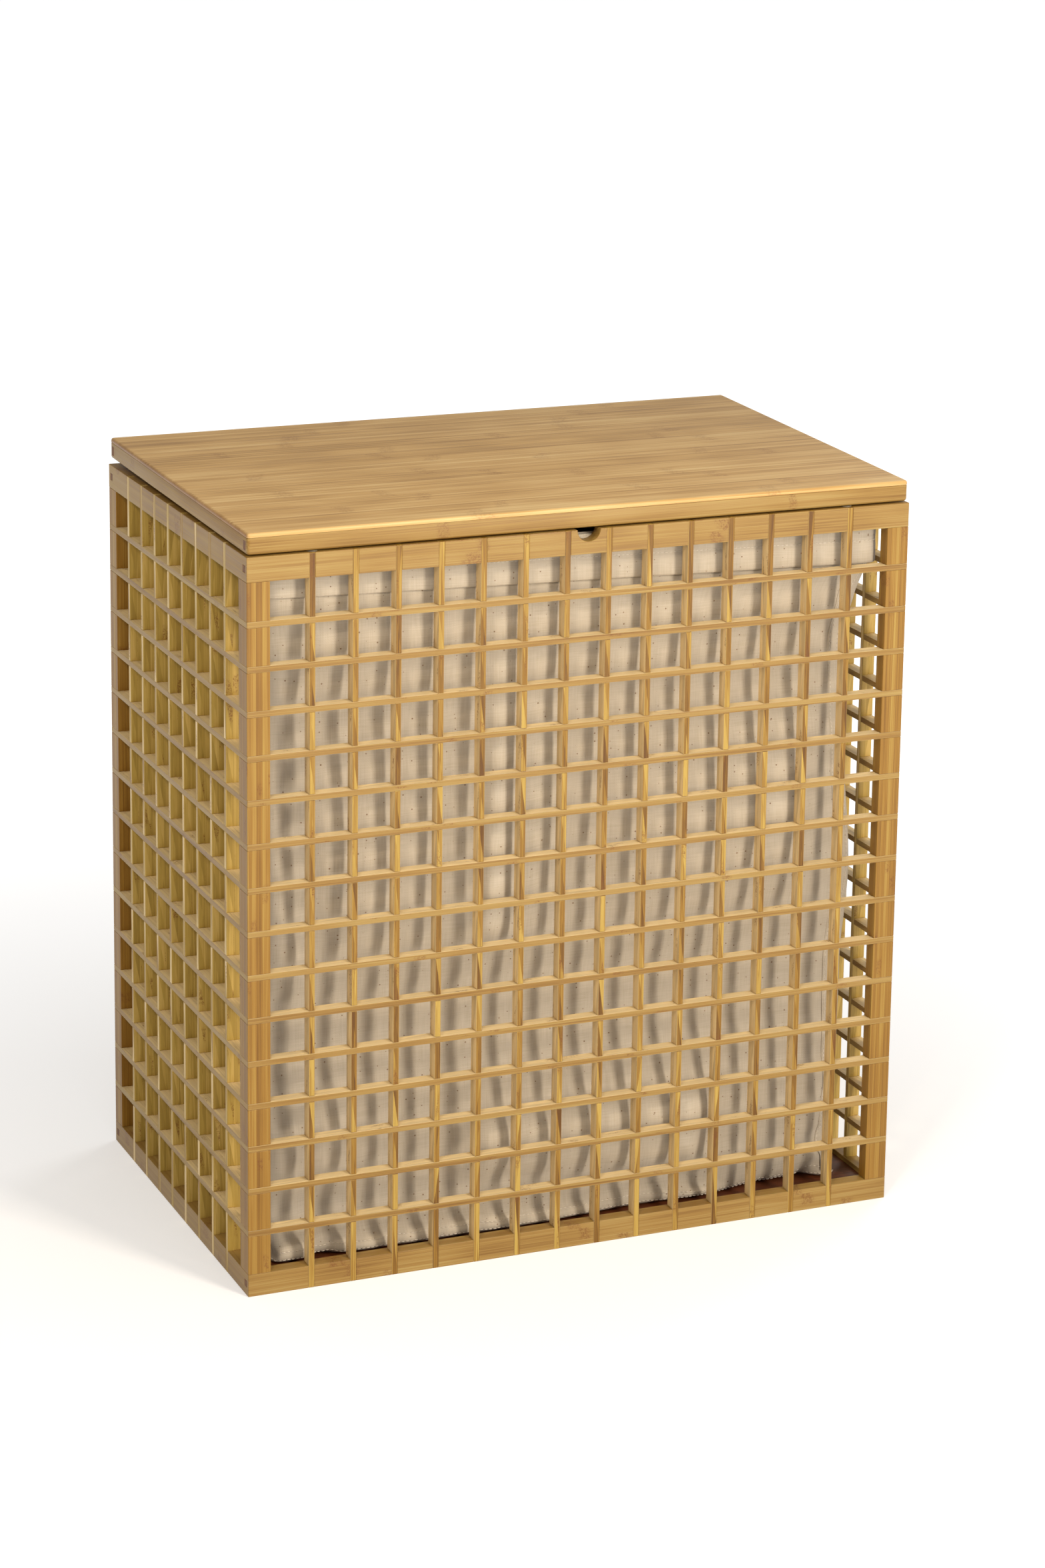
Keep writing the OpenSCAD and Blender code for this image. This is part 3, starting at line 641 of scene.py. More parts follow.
def stitch_row(places, length, pitch, radius):
    """Thread stitches along a row of (point, outward) places, as points and faces. Each is a
    small spindle that dips into the cloth at both ends."""
    verts = []
    faces = []
    walked = 0.0
    wanted = 0.0
    sides = 5
    profile = ((0.0, 0.35, -0.4), (0.18, 0.95, 0.35), (0.5, 1.0, 0.5), (0.82, 0.95, 0.35), (1.0, 0.35, -0.4))
    for (p0, n0), (p1, n1) in zip(places, places[1:]):
        step = p1 - p0
        span = step.length
        while span > 0 and wanted < walked + span:
            start = p0 + step * ((wanted - walked) / span)
            onward = step / span
            outward = (n0 + n1).normalized()
            across = onward.cross(outward)
            first = len(verts)
            for along, wide, lift in profile:
                centre = start + onward * (along * length) + outward * (lift * radius)
                for k in range(sides):
                    turn = 2 * math.pi * k / sides
                    aside = outward * math.cos(turn) + across * math.sin(turn)
                    verts.append(centre + aside * radius * wide)
            for ring in range(len(profile) - 1):
                for k in range(sides):
                    a = first + ring * sides + k
                    b = first + ring * sides + (k + 1) % sides
                    faces.append((a, b, b + sides, a + sides))
            faces.append(tuple(range(first + sides - 1, first - 1, -1)))
            last = first + (len(profile) - 1) * sides
            faces.append(tuple(range(last, last + sides)))
            wanted += pitch
        walked += span
    return verts, faces


# ---- Lid ----------------------------------------------------------------------------------
def lid_measures():
    """The closed lid's own frame, from the middle of its board's underside, as a matrix, and the
    lid's half sizes, board thickness, rail height and rail width."""
    board = [vertex.co / MM for vertex in NODES["lid_board"].data.vertices]
    front = min(board, key=lambda point: point.z)
    back = max(board, key=lambda point: point.y)
    top = min(board, key=lambda point: point.y)
    lean = math.atan2(back.z - front.z, back.y - front.y)
    depth = math.hypot(back.y - front.y, back.z - front.z)
    middle = Vector((0, (front.y + back.y) / 2, (front.z + back.z) / 2))
    own_frame = Matrix.Translation(middle) @ Matrix.Rotation(lean, 4, "X")
    rail = [own_frame.inverted() @ (vertex.co / MM) for vertex in NODES["lid_front_rail"].data.vertices]
    rail_h = -min(point.z for point in rail)
    rail_w = max(point.y for point in rail) - min(point.y for point in rail)
    thick = math.hypot(top.y - front.y, top.z - front.z)
    return own_frame, max(point.x for point in board), depth / 2, thick, rail_h, rail_w


def mitred_columns(side, half_x, half_y, radius):
    """Columns along one side of a rounded rectangle, from mitre to mitre: each column's turn
    matrix, its side's half length and depth, and its lean into the corner."""
    turn = Matrix.Rotation(math.pi / 2 * side, 4, "Z")
    half, depth = (half_x, half_y) if side % 2 == 0 else (half_y, half_x)
    leans = [math.pi / 4 * step / 3 for step in range(4)]
    columns = [(turn, half, depth, radius, -1, lean) for lean in leans[::-1]]
    return columns + [(turn, half, depth, radius, 1, lean) for lean in leans]


def inset_point(column, inset, z):
    """The point of a column at a distance inside the outline and a height."""
    turn, half, depth, radius, end, lean = column
    reach = max(radius - inset, 0.0)
    centre = max(radius, inset)
    x = end * (half - centre + reach * math.sin(lean))
    y = -(depth - centre + reach * math.cos(lean))
    return turn @ Vector((x, y, z))


def rounded_steps(t0, z0, t1, z1, steps):
    """Points of a quarter round in a section, from one (inset, height) to another. It bulges
    towards the outline."""
    points = []
    for step in range(steps + 1):
        a = math.pi / 2 * step / steps
        if t1 < t0:
            points.append((t0 - (t0 - t1) * math.sin(a), z0 + (z1 - z0) * (1 - math.cos(a))))
        else:
            points.append((t0 + (t1 - t0) * (1 - math.cos(a)), z0 + (z1 - z0) * math.sin(a)))
    return points


def shade_by_angle(piece):
    """Keeps flat faces flat and rounds smooth."""
    for edge in piece.data.edges:
        edge.use_edge_sharp = False
    piece.data.set_sharp_from_angle(angle=math.radians(32))


# ---- Tapes and screws ---------------------------------------------------------------------
def tape_band(half_x, half_y, thickness, low, height, end, pile_out, seed):
    """Four straight tapes inside a rectangle, with thin woven edges and a raised pile between
    them on one face, as points and faces."""
    verts = []
    faces = []
    for side in range(4):
        turn = math.pi / 2 * (side - 1)
        outward = Vector((math.cos(turn), math.sin(turn), 0))
        onward = Vector((-outward.y, outward.x, 0))
        half, depth = (half_x, half_y) if side % 2 == 0 else (half_y, half_x)
        reach = half - end
        steps = int(2 * reach / 3)
        backing = depth - thickness if pile_out else depth
        direction = 1 if pile_out else -1
        first = len(verts)
        for i in range(steps + 1):
            x = -reach + 2 * reach * i / steps
            pile = thickness * (0.94 + 0.06 * ripple(seed, x / 3.1, side))
            profile = [(0, 0), (0, height), (0.45 * thickness, height), (0.5 * thickness, height - 1.3),
                       (pile, height - 1.9), (pile * 0.97, height * 0.66), (pile, height * 0.33),
                       (pile, 1.9), (0.5 * thickness, 1.3), (0.45 * thickness, 0)]
            for deep, up in profile:
                verts.append(outward * (backing + direction * deep) + onward * x + Vector((0, 0, low + up)))
        size = len(profile)
        for i in range(steps):
            for k in range(size):
                a, b = first + i * size + k, first + i * size + (k + 1) % size
                quad = (a, a + size, b + size, b)
                faces.append(quad if pile_out else quad[::-1])
        start = tuple(range(first, first + size))
        finish = tuple(range(first + steps * size, first + (steps + 1) * size))
        faces.append(start if pile_out else start[::-1])
        faces.append(finish[::-1] if pile_out else finish)
    return verts, faces


def screw_mesh(name, places, head, shank, length):
    """Countersunk screws with a cross recess, one at each (point, matrix) place."""
    mesh = bmesh.new()
    arm, slot_half, deep = 0.58 * head, 0.15 * head, 0.38 * head
    for point, turn in places:
        rim = []
        for k in range(24):
            angle = 2 * math.pi * k / 24
            rim.append(mesh.verts.new((head * math.cos(angle), head * math.sin(angle), 0)))
        cross = []
        for quarter in range(4):
            spin = Matrix.Rotation(quarter * math.pi / 2, 3, "Z")
            for x, y in ((arm, -slot_half), (arm, slot_half), (slot_half * 1.25, slot_half * 1.25)):
                cross.append(mesh.verts.new(spin @ Vector((x, y, 0))))
        edges = []
        for loop in (rim, cross):
            for a, b in zip(loop, loop[1:] + loop[:1]):
                edges.append(mesh.edges.new((a, b)))
        bmesh.ops.triangle_fill(mesh, use_beauty=True, edges=edges, normal=(0, 0, 1))
        floor = [mesh.verts.new((v.co.x * 0.55, v.co.y * 0.55, -deep)) for v in cross]
        for k in range(len(cross)):
            after = (k + 1) % len(cross)
            mesh.faces.new((cross[k], floor[k], floor[after], cross[after]))
        mesh.faces.new(floor)
        rings = [rim]
        for radius, z in ((head, -0.12 * head), (shank, -1.2), (shank, 0.5 - length), (0.3 * shank, -length)):
            ring = []
            for k in range(24):
                angle = 2 * math.pi * k / 24
                ring.append(mesh.verts.new((radius * math.cos(angle), radius * math.sin(angle), z)))
            rings.append(ring)
        for upper, lower in zip(rings, rings[1:]):
            for k in range(24):
                after = (k + 1) % 24
                mesh.faces.new((upper[k], lower[k], lower[after], upper[after]))
        mesh.faces.new(rings[-1][::-1])
        made = [v for v in mesh.verts if not v.tag]
        bmesh.ops.transform(mesh, matrix=Matrix.Translation(point) @ turn, verts=made)
        for v in made:
            v.tag = True
    bmesh.ops.recalc_face_normals(mesh, faces=mesh.faces)
    bmesh.ops.scale(mesh, vec=(MM, MM, MM), verts=mesh.verts)
    data = bpy.data.meshes.new(name)
    mesh.to_mesh(data)
    mesh.free()
    return data


# ---- Settings -----------------------------------------------------------------------------
def colour_property(name, description, hex_colour):
    """A colour setting whose default is given as sRGB hex."""
    return bpy.props.StringProperty(name=name, description=description, default=hex_colour)


def length_property(name, description, default, low=0.05 * MM, high=1.0):
    """A length setting, in metres."""
    return bpy.props.FloatProperty(name=name, description=description, default=default, min=low,
                                   max=high, precision=5, unit="LENGTH")


def power_property(name, description, default):
    """A light's power setting, in watts."""
    return bpy.props.FloatProperty(name=name, description=description, default=default, min=0,
                                   unit="POWER")


class HamperBambooSettings(bpy.types.PropertyGroup):
    """Colours and edges of the bamboo parts."""

    rail_dark: colour_property("Rail, dark", "Darkest fibre colour of the rails", "#765322")
    rail_mid: colour_property("Rail, middle", "Main colour of the rails", "#917138")
    rail_light: colour_property("Rail, light", "Palest fibre colour of the rails", "#a0874f")
    stile_dark: colour_property("Stile, dark", "Darkest strip colour of the stiles", "#694511")
    stile_mid: colour_property("Stile, middle", "Main colour of the stiles", "#8d6725")
    stile_light: colour_property("Stile, light", "Palest strip colour of the stiles", "#a48843")
    slat_dark: colour_property("Upright, dark", "Darkest colour of the uprights", "#5b3909")
    slat_mid: colour_property("Upright, middle", "Main colour of the uprights", "#896420")
    slat_light: colour_property("Upright, light", "Palest colour of the uprights", "#af9246")
    # The uprights' side faces take this paler colour as painted light, for the fill light that falls on them.
    slat_side_painted_light: colour_property("Upright, side", "Colour of the uprights' side faces", "#dbc08e")
    # The crossbars' top and bottom faces take this paler colour as painted light, for the light from above.
    slat_top_painted_light: colour_property("Crossbar, top", "Colour of the crossbars' top faces", "#efd7a4")
    lid_dark: colour_property("Lid, dark", "Darkest colour of the lid board", "#95713f")
    lid_mid: colour_property("Lid, middle", "Main colour of the lid board", "#c0995d")
    lid_light: colour_property("Lid, light", "Palest colour of the lid board", "#d9bb82")
    node_tone: colour_property("Culm node", "Colour of the culm nodes", "#6a3a16")
    rail_edge: length_property("Rail edge", "Width of the eased edges of rails and stiles",
                               0.35 * MM, 0.05 * MM, 1 * MM)
    slat_edge: length_property("Slat edge", "Width of the eased edges of the slats",
                               0.3 * MM, 0.05 * MM, 1 * MM)
    lid_end: colour_property("Lid, end grain", "Colour of the lid board's cut ends", "#8f6438")
    lid_edge: length_property("Lid edge", "Radius of the lid's rounded outer edges",
                              2 * MM, 0.2 * MM, 2.5 * MM)
    lid_seam: length_property("Lid seam", "Eased edge on both sides of the seam under the lid board",
                              0.5 * MM, 0.1 * MM, 1 * MM)
    lid_corner: length_property("Lid corner", "Radius of the lid's upright corners",
                                2.6 * MM, 2.5 * MM, 8 * MM)
    strip: length_property("Strip", "Width of the glued strips in the stiles", 4.3 * MM, 2 * MM, 8 * MM)
    lid_strip: length_property("Lid strip", "Width of the glued strips in the lid board",
                               19 * MM, 10 * MM, 30 * MM)


class HamperLinerSettings(bpy.types.PropertyGroup):
    """Sizes and colours of the canvas liner, its thread and its tapes."""

    top: length_property("Top", "Height of the liner's top edge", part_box("liner_cuff")[1].z)
    half_width: length_property("Half width", "Half the bag's width at the top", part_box("liner_front")[1].x)
    half_depth: length_property("Half depth", "Half the bag's depth at the top",
                                -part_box("liner_front")[0].y)
    base: length_property("Base", "Height of the bag's bottom seam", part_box("floor_panel")[1].z + 0.9 * MM)
    corner: length_property("Corner", "Radius of the bag's upright corners", 16 * MM, 4 * MM, 40 * MM)
    slack: bpy.props.FloatProperty(
        name="Slack", description="Extra cloth in the bag's walls, as a share of their size",
        default=0.02, min=0.0, max=0.1, subtype="FACTOR")
    cloth_light: colour_property("Canvas, light", "Palest thread of the canvas", "#bbb2a4")
    cloth_dark: colour_property("Canvas, dark", "Darkest thread of the canvas", "#aca291")
    speck: colour_property("Seed speck", "Colour of the seed specks in the canvas", "#6b4c33")
    thread: colour_property("Thread", "Colour of the sewing thread", "#e2d9cb")
    tape: colour_property("Tape", "Colour of the hook and loop tapes", "#d8cfbd")
    stitch: length_property("Stitch", "Length of a stitch", 2.6 * MM, 1 * MM, 6 * MM)
    stitch_pitch: length_property("Stitch pitch", "Distance from one stitch to the next",
                                  3.5 * MM, 1.5 * MM, 8 * MM)
    seam: length_property("Seam", "Width of the folded corner seams", 12 * MM, 6 * MM, 20 * MM)


class HamperStageSettings(bpy.types.PropertyGroup):
    """Camera and studio light."""

    place: bpy.props.FloatVectorProperty(
        name="Camera place", description="Where the camera stands",
        default=(-1.13786, -2.72934, 1.21133), precision=4, subtype="TRANSLATION")
    turn: bpy.props.FloatVectorProperty(
        name="Camera turn", description="How the camera is turned",
        default=(1.3391, -0.0134, -0.397), precision=4, subtype="EULER")
    lens: bpy.props.FloatProperty(
        name="Lens", description="Focal length on a 36 mm wide sensor, in millimetres",
        default=92.07, min=20, max=200)
    rise: bpy.props.FloatProperty(
        name="Lens rise", description="Upward shift of the lens, as a share of the frame",
        default=-0.16, min=-0.3, max=0.3)
    key_power: power_property("Key light", "Power of the narrow tall softbox at the right", 62)
    fill_power: power_property("Fill light", "Power of the small softbox at the left", 24)
    top_power: power_property("Top light", "Power of the softbox overhead", 15)
    back_power: power_property("Back light", "Power of the softbox behind", 24)
    sky: bpy.props.FloatProperty(
        name="Studio walls", description="Strength of the even light from all round", default=0.35,
        min=0, max=2)


class HamperSettings(bpy.types.PropertyGroup):
    """All settings of the hamper."""

    bamboo: bpy.props.PointerProperty(type=HamperBambooSettings)
    liner: bpy.props.PointerProperty(type=HamperLinerSettings)
    stage: bpy.props.PointerProperty(type=HamperStageSettings)


# ---- Operators ----------------------------------------------------------------------------
class HAMPER_OT_stage(bpy.types.Operator):
    """Sets up the camera, the pale floor and the soft studio light"""

    bl_idname = "hamper.stage"
    bl_label = "Stage"

    def execute(self, context):
        stage = context.scene.hamper.stage
        scene = context.scene
        camera = bpy.data.objects.new("camera", bpy.data.cameras.new("camera"))
        camera.data.lens = stage.lens
        camera.data.sensor_width = 36
        camera.data.shift_y = stage.rise
        camera.data.clip_end = 100
        camera.location = stage.place
        camera.rotation_euler = stage.turn
        scene.collection.objects.link(camera)
        scene.camera = camera

        mesh = bpy.data.meshes.new("studio_floor")
        reach = 30
        mesh.from_pydata([(-reach, -reach, 0), (reach, -reach, 0), (reach, reach, 0), (-reach, reach, 0)],
                         [], [(0, 1, 2, 3)])
        mesh.materials.append(studio_floor("white_acrylic_sweep", "#dcdcdc", 0.2, 1.6, 0.36, 0.75))
        floor = bpy.data.objects.new("studio_floor", mesh)
        scene.collection.objects.link(floor)

        softboxes = (
            ("key_softbox", (0.715, -2.1, 1.45), (-1.5, 0, 1.25), 0.43, 2.6, stage.key_power, "#fff2e0"),
            ("fill_softbox", (-1.5, -1.9, 2.0), (0, 0, 0.35), 0.34, 0.34, stage.fill_power, "#ffedd2"),
            ("top_softbox", (-0.3, -1.0, 2.7), (0, 0, 0.4), 1.6, 1.2, stage.top_power, "#ffffff"),
            ("back_softbox", (2.3, 1.6, 1.5), (0, 0, 0.3), 1.2, 1.4, stage.back_power, "#ffffff"),
        )
        for name, place, aim, wide, tall, power, tone in softboxes:
            light = bpy.data.lights.new(name, "AREA")
            light.shape = "RECTANGLE"
            light.size = wide
            light.size_y = tall
            light.energy = power
            light.color = linear(tone)
            box = bpy.data.objects.new(name, light)
            box.location = place
            box.rotation_euler = (Vector(aim) - box.location).to_track_quat("-Z", "Y").to_euler()
            scene.collection.objects.link(box)
        world = bpy.data.worlds.new("studio_walls")
        world.use_nodes = True
        world.node_tree.nodes.clear()
        seen = add(world.node_tree, "ShaderNodeLightPath").outputs["Is Camera Ray"]
        strength = add(world.node_tree, "ShaderNodeMapRange", Value=seen, To_Min=stage.sky, To_Max=1.0)
        glow = add(world.node_tree, "ShaderNodeBackground", Color=(*linear("#ffffff"), 1),
                   Strength=strength.outputs[0])
        add(world.node_tree, "ShaderNodeOutputWorld", Surface=glow.outputs[0])
        scene.world = world
        scene.view_settings.view_transform = "Standard"
        return {"FINISHED"}


class HAMPER_OT_rails(bpy.types.Operator):
    """Finishes the rails of the four panels in bamboo that is grained along them"""

    bl_idname = "hamper.rails"
    bl_label = "Rails"

    def execute(self, context):
        bamboo_set = context.scene.hamper.bamboo
        tones = (bamboo_set.rail_dark, bamboo_set.rail_mid, bamboo_set.rail_light)
        for grain, panels in (("X", ("front", "back")), ("Y", ("left", "right"))):
            material = bamboo(f"carbonised_bamboo_rail_{grain.lower()}", grain, "Z", 9.0, tones,
                              bamboo_set.node_tone, (0.15, 0.3, 0.45, 0.3, 0.1), 0.42,
                              node_gap=190.0, node_mm=12.0, node_depth=0.6)
            finish_cad([f"{panel}_{level}_rail" for panel in panels for level in ("top", "bottom")],
                       material, bamboo_set.rail_edge)
        return {"FINISHED"}


class HAMPER_OT_stiles(bpy.types.Operator):
    """Finishes the corner stiles in bamboo glued up from upright strips"""

    bl_idname = "hamper.stiles"
    bl_label = "Stiles"

    def execute(self, context):
        bamboo_set = context.scene.hamper.bamboo
        tones = (bamboo_set.stile_dark, bamboo_set.stile_mid, bamboo_set.stile_light)
        sides = (("X", ("front_left", "front_right", "back_left", "back_right")),
                 ("Y", ("left_front", "left_back", "right_front", "right_back")))
        for layers, stiles in sides:
            material = bamboo(f"laminated_bamboo_stile_{layers.lower()}", "Z", layers,
                              bamboo_set.strip / MM, tones, bamboo_set.node_tone,
                              (0.4, 0.3, 0.35, 0.15, 0.1), 0.42, node_mm=12.0, node_depth=0.55)
            finish_cad([f"{stile}_stile" for stile in stiles], material, bamboo_set.rail_edge)
        return {"FINISHED"}


class HAMPER_OT_slats(bpy.types.Operator):
    """Finishes the uprights and crossbars of the lattice, each slat with its own tone"""

    bl_idname = "hamper.slats"
    bl_label = "Slats"

    def execute(self, context):
        bamboo_set = context.scene.hamper.bamboo
        upright_tones = (bamboo_set.slat_dark, bamboo_set.slat_mid, bamboo_set.slat_light)
        crossbar_tones = (bamboo_set.rail_dark, bamboo_set.rail_mid, bamboo_set.rail_light)
        # Painted light: faces that look along X are made lighter. The front and back uprights' sides take the
        # painted side light. The left and right uprights, whose faces look along X, take tones that rise to
        # it, and their own sides take the pale tone.
        side_panel_tones_with_painted_light = (bamboo_set.slat_mid, bamboo_set.slat_light, bamboo_set.slat_side_painted_light)
        for along, panels, tones, side in (("X", ("front", "back"), upright_tones, bamboo_set.slat_side_painted_light),
                                           ("Y", ("left", "right"), side_panel_tones_with_painted_light, bamboo_set.slat_light)):
            upright = bamboo(f"carbonised_bamboo_upright_{along.lower()}", "Z", along, 9.0, tones,
                             bamboo_set.node_tone, (0.0, 0.3, 0.5, 0.25, 0.8), 0.42, node_mm=16.0,
                             node_depth=0.7, islands=True, turned=(along, side, 0.85))
            finish_cad([f"{panel}_uprights" for panel in panels], upright, bamboo_set.slat_edge)
            # Painted light: the crossbars' top and bottom faces take the paler top colour, for the light that
            # falls on them from above.
            crossbar = bamboo(f"carbonised_bamboo_crossbar_{along.lower()}", along, "Z", 9.0, crossbar_tones,
                              bamboo_set.node_tone, (0.0, 0.3, 0.45, 0.25, 0.35), 0.42, node_mm=10.0,
                              node_depth=0.55, islands=True, turned=("Z", bamboo_set.slat_top_painted_light, 0.8))
            finish_cad([f"{panel}_crossbars" for panel in panels], crossbar, bamboo_set.slat_edge)
        return {"FINISHED"}


class HAMPER_OT_lid(bpy.types.Operator):
    """Makes the lid's board and the four mitred rails under it, with their outer edges rounded"""

    bl_idname = "hamper.lid"
    bl_label = "Lid"

    def execute(self, context):
        bamboo_set = context.scene.hamper.bamboo
        frame_of_lid, half_x, half_y, board_t, rail_h, rail_w = lid_measures()
        corner, edge = bamboo_set.lid_corner / MM, bamboo_set.lid_edge / MM
        seam = bamboo_set.lid_seam / MM
        board = bamboo("laminated_bamboo_lid_board", "X", "Y", bamboo_set.lid_strip / MM,
                       (bamboo_set.lid_dark, bamboo_set.lid_mid, bamboo_set.lid_light),
                       bamboo_set.node_tone, (0.35, 0.4, 0.35, 0.25, 0.0), 0.4, node_gap=230.0,
                       node_mm=14.0, node_depth=0.3, turned=("X", bamboo_set.lid_end, 0.9))
        profile = rounded_steps(seam, 0, 0, seam, 2) + rounded_steps(0, board_t - edge, edge, board_t, 5)
        columns = []
        for side in range(4):
            columns.extend(mitred_columns(side, half_x, half_y, corner)[:-1])
        rings = [[frame_of_lid @ inset_point(column, t, z) for column in columns] for t, z in profile]
        faces = grid_faces(len(rings), len(columns), wrap_columns=True)[0]
        faces.append(tuple(range(len(columns)))[::-1])
        last = (len(rings) - 1) * len(columns)
        faces.append(tuple(range(last, last + len(columns))))
        points = [point for ring in rings for point in ring]
        top = new_piece("lid_top_board", points, faces, board, "lid")
        shade_by_angle(top)
        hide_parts("lid_board")

        profile = [(rail_w, -rail_h), *rounded_steps(edge, -rail_h, 0, edge - rail_h, 5),
                   *rounded_steps(0, -seam, seam, 0, 2), (rail_w, 0)]
        tones = (bamboo_set.rail_dark, bamboo_set.rail_mid, bamboo_set.rail_light)
        materials = {}
        for grain in ("X", "Y"):
            materials[grain] = bamboo(f"carbonised_bamboo_lid_rail_{grain.lower()}", grain, "Z", 20.0, tones,
                                      bamboo_set.node_tone, (0.0, 0.3, 0.45, 0.3, 0.1), 0.42, node_mm=9.0,
                                      node_depth=0.5)
        # The pegs' ends stand a hair proud of the rails.
        proud = 0.12
        for side, word in enumerate(("front", "right", "back", "left")):
            columns = mitred_columns(side, half_x, half_y, corner)
            rings = [[frame_of_lid @ inset_point(column, t + proud, z) for t, z in profile]
                     for column in columns]
            faces = grid_faces(len(rings), len(profile), wrap_columns=True)[0]
            faces = [face[::-1] for face in faces]
            faces.append(tuple(range(len(profile))))
            last = (len(rings) - 1) * len(profile)
            faces.append(tuple(range(last, last + len(profile)))[::-1])
            points = [point for ring in rings for point in ring]
            rail = new_piece(f"lid_rail_{word}", points, faces, materials["X" if side % 2 == 0 else "Y"],
                             "lid")
            shade_by_angle(rail)
            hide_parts(f"lid_{word}_rail")
        return {"FINISHED"}


class HAMPER_OT_pegs(bpy.types.Operator):
    """Finishes the corner pegs, whose cut ends show at the sides"""

    bl_idname = "hamper.pegs"
    bl_label = "Pegs"

    def execute(self, context):
        material = end_grain("bamboo_peg_end_grain", ("#4e2d12", "#8a5a2c"), 0.6)
        finish_cad(["top_corner_pegs", "bottom_corner_pegs", "lid_corner_pegs"], material, 0.25 * MM)
        return {"FINISHED"}


class HAMPER_OT_floor_board(bpy.types.Operator):
    """Finishes the floor panel and the cleats that carry it"""

    bl_idname = "hamper.floor_board"
    bl_label = "Floor board"

    def execute(self, context):
        bamboo_set = context.scene.hamper.bamboo
        # The board's very dark tones are partly its stain and partly painted shade, the shade under the bag
        # that stands on it.
        board = stain_and_shade_board("plywood_floor_stain_and_shade", ("#3a1a09", "#6b3514"), 0.55)
        finish_cad(["floor_panel"], board, 0.3 * MM)
        cleat = bamboo("carbonised_bamboo_cleat", "X", "Y", 9.0,
                       (bamboo_set.stile_dark, bamboo_set.stile_mid, bamboo_set.stile_light),
                       bamboo_set.node_tone, (0.1, 0.4, 0.4, 0.3, 0.1), 0.55)
        finish_cad(["floor_cleats"], cleat, 0.4 * MM)
        return {"FINISHED"}


class HAMPER_OT_hinges(bpy.types.Operator):
    """Finishes the hinges, puts cross-recessed screws in them and finishes the bumpers"""

    bl_idname = "hamper.hinges"
    bl_label = "Hinges and bumpers"

    def execute(self, context):
        steel = plated_steel("nickel_plated_steel_hinge", "#c9c6c0", 0.3, 0.5)
        leaves = [f"{side}_hinge_{leaf}_leaf" for side in ("left", "right") for leaf in ("body", "lid")]
        finish_cad(leaves, steel, 0.2 * MM)
        finish_cad(["left_hinge_pin", "right_hinge_pin"], steel, 0.25 * MM)
        rubber = clear_rubber("clear_polyurethane_bumper", "#d9c7a6", 0.3)
        finish_cad(["lid_bumpers"], rubber, 0.35 * MM, segments=3)
        zinc = plated_steel("zinc_plated_screw", "#b9b8b4", 0.35, 0.3)
        for level, body, face in (("body", "root", 0.0), ("lid", "lid", math.pi)):
            name = f"hinge_{level}_screws"
            low, high = (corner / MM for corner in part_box(name))
            head_z = high.z if level == "body" else low.z
            places = []
            for side in ("left", "right"):
                leaf_low, leaf_high = (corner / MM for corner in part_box(f"{side}_hinge_body_leaf"))
                middle, quarter = (leaf_low.x + leaf_high.x) / 2, (leaf_high.x - leaf_low.x) / 4
                for step, spin in ((-quarter, 0.3), (quarter, 1.1)):
                    turn = Matrix.Rotation(face, 4, "X") @ Matrix.Rotation(spin, 4, "Z")
                    places.append((Vector((middle + step, (low.y + high.y) / 2, head_z)), turn))
            data = screw_mesh(f"{level}_leaf_screws", places, 2.15, 1.05, high.z - low.z - 0.1)
            data.materials.append(zinc)
            screws = bpy.data.objects.new(f"{level}_leaf_screws", data)
            context.scene.collection.objects.link(screws)
            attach(screws, body)
            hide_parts(name)
        return {"FINISHED"}


